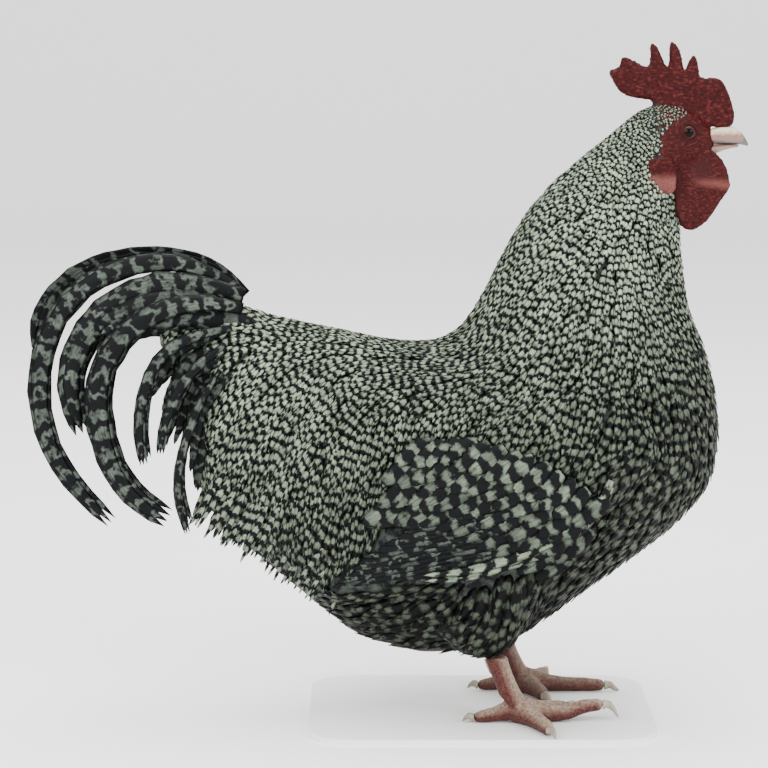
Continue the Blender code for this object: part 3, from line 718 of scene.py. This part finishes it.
def mixed(tree, share, one, two, kind="MIX"):
    node = tree.nodes.new("ShaderNodeMix")
    node.data_type = "RGBA"
    node.blend_type = kind
    for socket, value in ((node.inputs[0], share), (node.inputs[6], one), (node.inputs[7], two)):
        if isinstance(value, (int, float)):
            socket.default_value = value
        elif isinstance(value, tuple):
            socket.default_value = (*value, 1)
        else:
            link(tree, value, socket)
    return node.outputs[2]


def noise_texture(tree, source, scale, detail):
    node = tree.nodes.new("ShaderNodeTexNoise")
    node.inputs["Scale"].default_value = scale
    node.inputs["Detail"].default_value = detail
    link(tree, source, node.inputs["Vector"])
    return node.outputs[0]


def grey_ramp(tree, value, *stops):
    return colour_ramp(tree, value, [(at, (grey, grey, grey)) for at, grey in stops])


def feather_material(name, dark, light, wander=0.6, soft=(0.26, 0.74), patch=420):
    """Bars of two colours. `wander` and `patch` make them ragged, and `soft` says how they meet."""
    made, tree, shader = new_material(name, 0.55)
    shader.inputs["Specular IOR Level"].default_value = 0.1
    across = maths(tree, "ABSOLUTE", told(tree, "across"))
    place = tree.nodes.new("ShaderNodeTexCoord").outputs["Object"]
    uneven = maths(tree, "SUBTRACT", noise_texture(tree, place, patch, 3), 0.5)
    count = maths(tree, "ADD", told(tree, "bar"), maths(tree, "MULTIPLY", uneven, wander))
    count = maths(tree, "SUBTRACT", count, maths(tree, "MULTIPLY", across, 0.16))
    turned = maths(tree, "COSINE", maths(tree, "MULTIPLY", count, 2 * math.pi))
    share = maths(tree, "ADD", told(tree, "pale"), -0.02)
    level = maths(tree, "ADD", maths(tree, "MULTIPLY", turned, 0.5), share)
    bars = grey_ramp(tree, level, (soft[0], 0), (soft[1], 1))
    # vane edges are darkened, a painted shade where neighbouring feathers meet, and the barbs are fine
    # slanting lines
    edge = grey_ramp(tree, across, (0.62, 1), (0.98, 0.28))
    fine = grey_ramp(tree, noise_texture(tree, place, 2300, 1), (0.25, 0.55), (0.75, 1.15))
    lane = tree.nodes.new("ShaderNodeCombineXYZ")
    for socket, key, stretch in zip(lane.inputs, ("across", "bar", "tone"), (3.2, 0.55, 90)):
        link(tree, maths(tree, "MULTIPLY", told(tree, key), stretch), socket)
    strands = noise_texture(tree, lane.outputs[0], 1.7, 2)
    strand = grey_ramp(tree, strands, (0.32, 0.38), (0.62, 1.1))
    blotches = noise_texture(tree, place, 75, 2)
    cloud = colour_ramp(tree, blotches, [(0.34, (0.55, 0.56, 0.58)), (0.62, (1.0, 1.0, 1.0))])
    base = mixed(tree, bars, dark, light)
    for share, layer in ((0.8, edge), (0.8, fine), (0.85, strand), (0.8, cloud)):
        base = mixed(tree, share, base, layer, "MULTIPLY")
    # each feather's brightness, part tone and part painted shade, scales its colour
    bright = tree.nodes.new("ShaderNodeCombineColor")
    for socket in bright.inputs[:3]:
        link(tree, told(tree, "brightness_and_painted_shade"), socket)
    base = mixed(tree, 1.0, base, bright.outputs[0], "MULTIPLY")
    link(tree, base, shader.inputs["Base Color"])
    return made


FEATHER = feather_material("barred feather", (0.0035, 0.004, 0.0056), (0.36, 0.435, 0.31))

# %% Lay the small feathers
place = roots * 1000
height = place[:, 2] + 0.45 * place[:, 0]
bands = {
    "crown_feathers": height > 445,
    "hackle_upper": (height <= 445) & (height > 395),
    "hackle_lower": (height <= 395) & (height > 330),
    "breast_feathers": (height <= 330) & (place[:, 0] > 60),
    "saddle_front": (height <= 330) & (place[:, 0] <= 60) & (place[:, 0] > -30),
    "saddle_rear": (height <= 330) & (place[:, 0] <= -30),
}
for k, (name, chosen) in enumerate(bands.items()):
    if chosen.any():
        small_feathers(name, roots[chosen], 20 + k)

# %% [markdown]
# ## The wing
# On the folded wing the feathers are broad coverts in rows, then long flight feathers that run to the
# wing's tip, and along the lower edge one long pale-edged feather. Both wings are the same, mirrored.

# %% Rows of coverts and long quills
LONG_STATIONS = 24
LONG_TEMPLATE = vane_template(LONG_STATIONS - 1, 8)


def side_place(x, z, lift):
    """A point on the right side of the form, standing off it by the lift (all in mm)."""
    hit = form_tree.ray_cast(Vector((x * MM, -0.3, z * MM)), Vector((0, 1, 0)))[0]
    y = hit.y if hit else -0.02
    return (x * MM, y - lift * MM, z * MM)


def smooth_line(points, count):
    """A smooth line of `count` points through the given ones."""
    pts = np.array(points, float)
    keys = np.concatenate([[0], np.cumsum(np.linalg.norm(np.diff(pts, axis=0), axis=1))])
    at = np.linspace(0, keys[-1], count)
    line = np.stack([np.interp(at, keys, pts[:, k]) for k in range(pts.shape[1])], 1)
    for _ in range(count // 6):
        line[1:-1] = 0.5 * line[1:-1] + 0.25 * (line[:-2] + line[2:])
    return line


def blade(count, fullest, tip=0.16):
    """A feather's width along it: quick to widen, slow to taper, round or pointed at the end."""
    t = np.linspace(0, 1, count)
    body = np.clip(0.35 + 2.4 * t, 0, 1) * np.clip((1.0 - t) / (1 - fullest), 0, 1) ** 0.42
    return body * (1 - tip) + tip * (1 - t)


def long_feathers(
    name, entries, seed, material, both=True, camber=0.12, thick=0.5 * MM, loose=0.25
):
    """entries: (points of the line in metres, up vector, width in mm, period, pale, dim, fullest)."""
    rng = np.random.default_rng(seed)
    lines = np.stack([smooth_line(entry[0], LONG_STATIONS) for entry in entries])
    ups = np.stack([np.broadcast_to(np.array(entry[1], float), (LONG_STATIONS, 3)) for entry in entries])
    if both:
        flip = np.array([1, -1, 1])
        lines = np.concatenate([lines, lines * flip])
        ups = np.concatenate([ups, ups * flip])
        entries = list(entries) * 2
    count = len(entries)
    _, _, width, period, pale, brightness_and_painted_shade, fullest = zip(*entries)
    widths = np.stack([w * MM * blade(LONG_STATIONS, f) for w, f in zip(width, fullest)])
    fray = rng.normal(0, 0.05, widths.shape)
    fray += 0.07 * np.sin(np.linspace(0, 60, LONG_STATIONS) + rng.uniform(0, 6, (count, 1)))
    widths = widths * (1 + np.where(np.linspace(0, 1, LONG_STATIONS) > 0.25, fray, 0))
    facts = {
        "period": np.array(period, float) * rng.uniform(0.9, 1.1, count),
        "phase": rng.normal(0.2, loose, count),
        "tone": rng.random(count),
        "pale": np.array(pale, float),
        "brightness_and_painted_shade": np.array(brightness_and_painted_shade, float) * rng.uniform(0.9, 1.1, count),
        "spot": rib_spot(lines[:, 2]),
    }
    made = vane_mesh(name, lines, ups, widths, facts, LONG_TEMPLATE, thick=thick, camber=camber)
    made.data.materials.append(material)
    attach(made, "root")
    return made


DARK_FEATHER = feather_material(
    "dark feather", (0.0035, 0.0042, 0.0058), (0.19, 0.235, 0.19), wander=2.2, soft=(0.25, 0.9), patch=130
)
COVERT = feather_material(
    "covert", (0.0032, 0.0038, 0.0052), (0.22, 0.27, 0.2), wander=0.9, soft=(0.34, 0.76), patch=150
)
OUT = (0, -1, 0.15)  # the way the wing's feathers face
QUILLS = 13
flight = []
rng = np.random.default_rng(5)
for k in range(QUILLS):
    t = k / (QUILLS - 1)
    tip = np.array([-42 + 62 * t ** 1.4, 82 + 58 * t])
    start = np.array([118 + 6 * t, 126 + 44 * t])
    middle = (tip + start) / 2 + np.array([0, 5 - 3 * t])
    line = [
        side_place(*start, 1.0 + 2.2 * t),
        side_place(*middle, 1.2 + 2.2 * t),
        side_place(*tip, 0.8 + 2.0 * t),
    ]
    flight.append((line, OUT, 13, 17, 0.16 + 0.05 * rng.random(), 0.55, 0.55))
long_feathers("flight_feathers", flight, 41, DARK_FEATHER)

LOWER_EDGE = [(147, 166), (139, 147), (120, 131), (95, 117), (57, 103), (25, 99)]
edge = []
for lift, drop in ((2.6, 0), (3.4, 4.5)):
    line = [side_place(x, z + 2 + drop, lift) for x, z in LOWER_EDGE]
    edge.append((line, OUT, 9.5, 15, 0.5, 0.62, 0.5))
long_feathers("wing_edge", edge, 43, FEATHER)

# how far back a row lies, and its feathers' length, width and bar period, in millimetres
ROWS = ((0, 26, 15, 12.5), (13, 30, 16, 13.5), (26, 34, 17, 15), (39, 36, 17, 16))
IN_ROW = 13
coverts = []
for r, (back, length, width, period) in enumerate(ROWS):
    for k in range(IN_ROW):
        t = (k + 0.5 * (r % 2)) / (IN_ROW - 0.5)
        x = 140 - 116 * t - back * 0.25 + rng.normal(0, 1)
        z = 158 + 38 * math.sin(min(1, t * 1.1) * 1.9) - back * 0.95 + rng.normal(0, 1)
        way = np.array([-0.78, -0.62 + 0.1 * t])
        lift = 7.0 - 1.1 * r
        stops = ((-4, -3.5), (length * 0.5, -0.8), (length, 0))
        line = [side_place(x + way[0] * far, z + way[1] * far, lift + rise) for far, rise in stops]
        coverts.append((line, OUT, width, period, 0.40, 0.62 - 0.05 * r, 0.6))
coverts.reverse()
long_feathers(
    "wing_coverts", coverts, 47, COVERT, camber=0.2, thick=0.4 * MM, loose=0.07
)

# %% [markdown]
# ## The tail
# The long sickles and hangers are blades with a ridge for the shaft, each made of a few vanes that lie
# together and part a little at the edges, and shorter dark feathers fill the root of the tail. Under
# them the saddle ends in a loose fringe of narrow feathers.

# %% Sickles and hangers
# for each blade: its line in the side view, its width, and how far out its root and tip are, all in mm
BLADES = {
    "sickle_lesser": (
        [(-95, 285), (-124, 293), (-158, 293), (-182, 282), (-198, 266), (-211, 242), (-213, 218),
         (-204, 194)], 25, (10, 20)),
    "sickle_side": (
        [(-95, 278), (-117, 284), (-148, 280), (-170, 267), (-188, 247), (-194, 226), (-193, 202),
         (-185, 170), (-168, 147), (-146, 135)], 21, (27, 33)),
    "hanger_upper": (
        [(-102, 266), (-124, 262), (-143, 254), (-156, 239), (-163, 215), (-165, 192), (-161, 174)],
        11, (33, 39)),
    "hanger_middle": (
        [(-106, 255), (-122, 244), (-136, 228), (-144, 211), (-149, 194), (-150, 182)], 10, (36, 42)),
    "hanger_lower": (
        [(-110, 238), (-122, 219), (-131, 198), (-138, 174), (-139, 151), (-132, 128)], 8, (36, 43)),
    "tail_fan": ([(-91, 264), (-128, 278), (-163, 274), (-190, 261)], 34, (21.5, 24)),
}
MAIN = {
    "right": (
        [(-96, 286), (-112, 301), (-141, 310), (-165, 309), (-197, 298), (-219, 280), (-232, 251),
         (-236, 217), (-230, 184), (-211, 155), (-185, 131)], 19, (4, 16)),
    "left": (
        [(-94, 285), (-108, 301), (-128, 309), (-156, 312), (-186, 309), (-212, 298), (-230, 282),
         (-239, 264), (-240, 253), (-235, 242)], 17, (4, 14)),
}
# for each vane of a blade: its offset and width as shares of the blade's, its step outwards in mm, and
# its brightness
VANES = ((0, 0.72, 0.9, 0.62), (-0.2, 0.62, 0, 0.5), (0.2, 0.62, -0.7, 0.55))
FAR_SHIFT = (-4, -7)  # how the left side's blades stand off the right side's, in mm


def offset_line(line, by):
    """A line in the side view moved sideways, by a distance that grows from its root."""
    pts = np.array(line, float)
    ahead = np.gradient(pts, axis=0)
    ahead /= np.linalg.norm(ahead, axis=1, keepdims=True)
    t = np.linspace(0, 1, len(pts))[:, None]
    return pts + np.stack([-ahead[:, 1], ahead[:, 0]], 1) * by * (0.25 + 0.75 * t)


def blade_entries(line, width, sideways, sign, shift=(0, 0)):
    """Three vanes side by side make one long feather of the tail."""
    found = []
    for by, share, out, brightness_and_painted_shade in VANES:
        pts = offset_line(line, by * width)
        side = np.interp(np.linspace(0, 1, len(pts)), [0, 1], sideways)
        row = [
            ((x + shift[0]) * MM, sign * (s + out) * MM, (z + shift[1]) * MM) for (x, z), s in zip(pts, side)
        ]
        found.append((row, (0, sign, 0.2), width * share, 15, 0.26, brightness_and_painted_shade, 0.62))
    return found


for side, sign in (("right", -1), ("left", 1)):
    sets = {"sickle_main": MAIN[side], **BLADES}
    for name, (line, width, sideways) in sets.items():
        shift = (0, 0) if side == "right" or name == "sickle_main" else FAR_SHIFT
        entries = blade_entries(line, width, sideways, sign, shift)
        made = long_feathers(
            f"{name}_{side}_vanes", entries, 60 + len(name), DARK_FEATHER, both=False
        )
        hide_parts(f"{name}_{side}")

# %% Dark feathers under the sickles, and the loose fringe of the saddle
fill = []
rng = np.random.default_rng(8)
for k in range(26):
    t = k / 25
    start = np.array([-98 - 14 * rng.random(), 266 - 40 * t])
    tip = np.array([-158 + 34 * t + rng.normal(0, 3), 226 - 70 * t + rng.normal(0, 6)])
    middle = (start + tip) / 2 + np.array([-7, 9])
    y = -(6 + 28 * rng.random())
    line = [(x * MM, (y - dy) * MM, z * MM) for (x, z), dy in ((start, 0), (middle, 1), (tip, 3))]
    fill.append((line, (0, -1, 0.2), 8.5, 9, 0.30, 0.42, 0.6))
long_feathers("tail_filling", fill, 71, DARK_FEATHER)
TIPS = [
    (-134, 132), (-127, 131), (-119, 124), (-112, 117), (-101, 115), (-95, 111), (-88, 107), (-80, 95),
    (-67, 91), (-55, 84), (-47, 75), (-34, 66),
]
fringe = []
for k in range(60):
    spot = rng.random() * (len(TIPS) - 1)
    a, b = np.array(TIPS[int(spot)], float), np.array(TIPS[int(spot) + 1], float)
    tip = a + (b - a) * (spot % 1) + rng.normal(0, 1.5, 2)
    back = np.array([0.42, 0.9]) if k % 2 else np.array([0.55, 0.83])
    start, middle = tip + back * rng.uniform(34, 48), tip + back * 18
    y = -(4 + 30 * rng.random())
    surface = side_place(*start, 0)[1] / MM
    stops = ((start, max(surface, y - 14)), (middle, y - 2), (tip, y))
    line = [(x * MM, out * MM, z * MM) for (x, z), out in stops]
    fringe.append((line, (0, -1, 0.1), 4.8, 8.5, 0.46, 0.7, 0.35))
long_feathers("saddle_fringe", fringe, 73, FEATHER, thick=0.35 * MM)

# %% [markdown]
# ## The skin's finish
# Numbers on the skin's points say where it is comb and face, ear lobe, leg, or hidden under the plumage,
# and where light and shade are painted: a highlight along the wattle's fold, and shade in the wattle's
# hollow, between wattle and lobe, in the creases round the eye and on the far leg. The finish mixes the
# reds, the leg's pinks and creams and the dark barred ground from them.

# %% Skin finish
X, Y, Z = (points_of(skin.data) * 1000).T
side_y = np.abs(Y)
leg = 1 - ramp(Z, 52, 58)
head_front = ramp(X, 180, 186) * ramp(Z, 362, 366)
comb_zone = ramp(Z, 412, 416) * (X > 145)
low_wattle = ramp(X, 196, 199) * ramp(Z, 320, 324) * (1 - ramp(Z, 384, 388)) * (side_y > 5)
lobe = (side_y > 20) * (X > 174) * (X < 196) * (1 - ramp(Z, 377, 380)) * ramp(Z, 351, 354)
jaw = ramp(X, 188, 192) * ramp(Z, 332, 340) * (1 - ramp(Z, 366, 372)) * (side_y > 5)
red = np.maximum.reduce([comb_zone, head_front, low_wattle]) * (1 - leg)
normal = normals_of(skin.data)
front = np.clip(normal[:, 0] * 0.9 + normal[:, 2] * 0.5, 0, 1) * leg
toe_top = np.clip(normal[:, 2], 0, 1) * (Z < 17) * leg
# painted shade: the wattle is darker in the hollow pressed into it and where the two wattles meet in the
# middle
deep = round_bell(X - 212, Z - 371, 7, 8) * low_wattle + 0.6 * (side_y < 9) * (Z < 384) * low_wattle
far = np.hypot(X - EYE_X, Z - EYE_Z)
# painted shade in the creases round the eye: in the groove beside the lid's rim, and fainter further out
lid_crease_shade = (side_y > 9) * (bell(far - 6.3, 0.8) + bell(far - 9.2, 0.7) * 0.5) * (Z < 406)
zones = {
    "red": np.maximum.reduce([red, lobe, jaw]),
    "lid_crease_shade": np.clip(lid_crease_shade, 0, 1),
    "lobe": lobe * (1 - ramp(Z, 363, 369)),
    "leg": leg,
    "scute": np.maximum(front, toe_top),
    # a painted highlight along the ridge of the wattle's fold
    "painted_highlight": bell(above_fold(X, Z, 361), 3) * ramp(X, 202, 214) * low_wattle,
    # painted shade also between the lobe and the wattle, below the lobe
    "deep": np.clip(deep + 0.8 * jaw * (1 - low_wattle) * (1 - lobe), 0, 1),
    # painted shade: the far leg, on the bird's left, is made darker
    "far_leg_shade": leg * (Y > 0),
}
for key, values in zones.items():
    tell(skin.data, key, values)


def skin_material():
    made, tree, shader = new_material("skin", 0.5)
    shader.inputs["Specular IOR Level"].default_value = 0.1
    place = tree.nodes.new("ShaderNodeTexCoord").outputs["Object"]
    squashed = tree.nodes.new("ShaderNodeMapping")
    squashed.inputs["Scale"].default_value = (0.75, 0.75, 1.35)
    link(tree, place, squashed.inputs["Vector"])

    def noise_ramp(scale, *stops):
        return colour_ramp(tree, noise_texture(tree, place, scale, 3), stops)

    def overlaid(below, key, strength, colour):
        return mixed(tree, maths(tree, "MULTIPLY", told(tree, key), strength), below, colour)

    wrinkle = noise_texture(tree, squashed.outputs[0], 560, 4)
    # the red follows the noise of the wrinkles' bumps: darker in their hollows, a painted shade, and
    # brighter on their crests, over the skin's own deep and bright reds
    red = colour_ramp(tree, wrinkle, [
        (0.30, (0.012, 0.0004, 0.0005)), (0.54, (0.034, 0.0018, 0.0019)), (0.78, (0.095, 0.019, 0.017)),
    ])
    # the painted highlight on the wattle's fold, a lighter red
    red = overlaid(red, "painted_highlight", 0.55, (0.17, 0.055, 0.045))
    # painted shade in the wattle's hollow and between wattle and lobe, a darker red
    red = overlaid(red, "deep", 1.0, (0.028, 0.004, 0.004))
    # painted shade in the creases round the eye, a darker red
    red = overlaid(red, "lid_crease_shade", 0.75, (0.016, 0.002, 0.002))
    fine = noise_texture(tree, place, 900, 3)
    lobe_colour = mixed(tree, fine, (0.05, 0.009, 0.009), (0.19, 0.07, 0.06))
    red = mixed(tree, told(tree, "lobe"), red, lobe_colour)
    ground = noise_ramp(160, (0.42, (0.003, 0.0035, 0.005)), (0.66, (0.04, 0.048, 0.04)))
    leg_red = noise_ramp(700, (0.35, (0.040, 0.010, 0.009)), (0.65, (0.10, 0.036, 0.029)))
    leg_pale = noise_ramp(500, (0.3, (0.14, 0.085, 0.06)), (0.7, (0.36, 0.28, 0.21)))
    leg_colour = mixed(tree, told(tree, "scute"), leg_red, leg_pale)
    # painted shade on the far leg, a darker red
    leg_colour = overlaid(leg_colour, "far_leg_shade", 0.45, (0.06, 0.025, 0.022))
    base = mixed(tree, told(tree, "red"), ground, red)
    base = mixed(tree, told(tree, "leg"), base, leg_colour)
    link(tree, base, shader.inputs["Base Color"])
    bump = tree.nodes.new("ShaderNodeBump")
    bump.inputs["Distance"].default_value = 0.0006
    bump.inputs["Strength"].default_value = 0.8
    height = maths(tree, "ADD", noise_texture(tree, place, 1100, 3), wrinkle)
    link(tree, height, bump.inputs["Height"])
    link(tree, bump.outputs[0], shader.inputs["Normal"])
    return made


skin.data.materials.clear()
skin.data.materials.append(skin_material())
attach(skin, "root")

# %% [markdown]
# ## Eyes, beak, claws and spurs
# The eye is a dark wet ball with a brown iris round the pupil. The beak is horn: cream on its ridge, pink
# in the middle and grey at its lower edge. The claws and spurs are horn, lighter the higher they stand and
# darker towards the bottom.

# %% Eyes
EYE_RADIUS, IRIS_RADIUS = 5.4, 4.9  # mm


def eye_material():
    made, tree, shader = new_material("eye", 0.1)
    shader.inputs["Specular IOR Level"].default_value = 0.07
    colour = colour_ramp(tree, told(tree, "ring"), [
        (0.0, (0.002, 0.002, 0.003)), (0.56, (0.002, 0.002, 0.003)), (0.62, (0.03, 0.008, 0.006)),
        (0.80, (0.05, 0.015, 0.010)), (0.92, (0.012, 0.003, 0.003)),
    ])
    link(tree, colour, shader.inputs["Base Color"])
    return made


for side, sign in (("right", -1), ("left", 1)):
    bm = bmesh.new()
    bmesh.ops.create_uvsphere(bm, u_segments=40, v_segments=24, radius=EYE_RADIUS * MM)
    bmesh.ops.rotate(bm, verts=bm.verts, cent=(0, 0, 0), matrix=Matrix.Rotation(math.pi / 2, 3, "X"))
    bmesh.ops.translate(bm, verts=bm.verts, vec=(EYE_X * MM, sign * EYE_Y * MM, EYE_Z * MM))
    eye = mesh_object(f"eye_ball_{side}", bm)
    X, _, Z = (points_of(eye.data) * 1000).T
    tell(eye.data, "ring", np.hypot(X - EYE_X, Z - EYE_Z) / IRIS_RADIUS)
    eye.data.materials.append(eye_material())
    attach(eye, "root")
    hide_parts(f"eye_{side}")

# %% Beak
def horn_material(name, stops, rough=0.35):
    """Colours by the level that each point carries, made uneven by a grain."""
    made, tree, shader = new_material(name, rough)
    place = tree.nodes.new("ShaderNodeTexCoord").outputs["Object"]
    grain = maths(tree, "SUBTRACT", noise_texture(tree, place, 350, 2), 0.5)
    level = maths(tree, "ADD", told(tree, "level"), maths(tree, "MULTIPLY", grain, 0.35))
    link(tree, colour_ramp(tree, level, stops), shader.inputs["Base Color"])
    return made


def smooth_copy(name, nodes, voxel, rounds, swell):
    made = joined_copy(name, nodes, swell)
    voxel_remesh(made, voxel)
    pts = points_of(made.data)
    put_points(made.data, relax(pts, edges_of(made.data), rounds))
    made.data.shade_smooth()
    return made


BEAK_STOPS = [
    (0.05, (0.085, 0.08, 0.07)), (0.25, (0.19, 0.12, 0.095)), (0.5, (0.21, 0.09, 0.07)),
    (0.8, (0.5, 0.43, 0.31)),
]
HORN_VOXEL = 0.5 * MM
for name, low, high in (("beak_upper", 386.5, 398.5), ("beak_lower", 380, 386.4)):
    beak = smooth_copy(name + "_horn", [name], HORN_VOXEL, 3, 0.45 * MM)
    X, _, Z = (points_of(beak.data) * 1000).T
    level = np.clip((Z - low) / (high - low), 0, 1) - 0.5 * ramp(X, 238, 244)
    if name == "beak_lower":
        level = 0.15 + 0.25 * level
    tell(beak.data, "level", level)
    beak.data.materials.append(horn_material(name, BEAK_STOPS))
    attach(beak, "root")
    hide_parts(name)

# %% Claws and spurs
CLAW_STOPS = [(0.2, (0.08, 0.06, 0.045)), (0.55, (0.2, 0.17, 0.13)), (0.9, (0.34, 0.3, 0.24))]
for side in ("right", "left"):
    claws = [f"claw_{toe}_{side}" for toe in ("hind", "inner", "middle", "outer")]
    for label, nodes in (("claws", claws), ("spur_horn", [f"spur_{side}"])):
        claw = smooth_copy(f"{label}_{side}", nodes, HORN_VOXEL, 4, 0.2 * MM)
        X, _, Z = (points_of(claw.data) * 1000).T
        # the horn is darker towards the bottom and lighter higher up, with a faint streak along it
        tell(claw.data, "level", 0.5 + 0.25 * np.sin(X * 0.9) * 0.3 + 0.02 * Z)
        claw.data.materials.append(horn_material(f"{label} {side}", CLAW_STOPS, 0.45))
        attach(claw, "root")
        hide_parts(*nodes)

# %% [markdown]
# ## Onto the base
# Everything was worked out with the feet at height 0. The bird now rises onto its base plate, and the
# helper form goes.

# %% Raise the bird, and finish
bpy.data.objects.remove(form)
pieces = [o for o in bpy.data.objects if o.type == "MESH" and "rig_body" in o]
for piece in pieces:
    if "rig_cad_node" not in piece:
        piece.data.transform(Matrix.Translation((0, 0, LIFT)))
base = bpy.data.objects["stand_base"]
base.data.materials.clear()
base.data.materials.append(flat_material("base plate", (0.84, 0.84, 0.83), 0.6))
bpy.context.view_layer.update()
shown = [o for o in pieces if not o.hide_render]
print("triangles in all", sum(len(p.vertices) - 2 for o in shown for p in o.data.polygons))
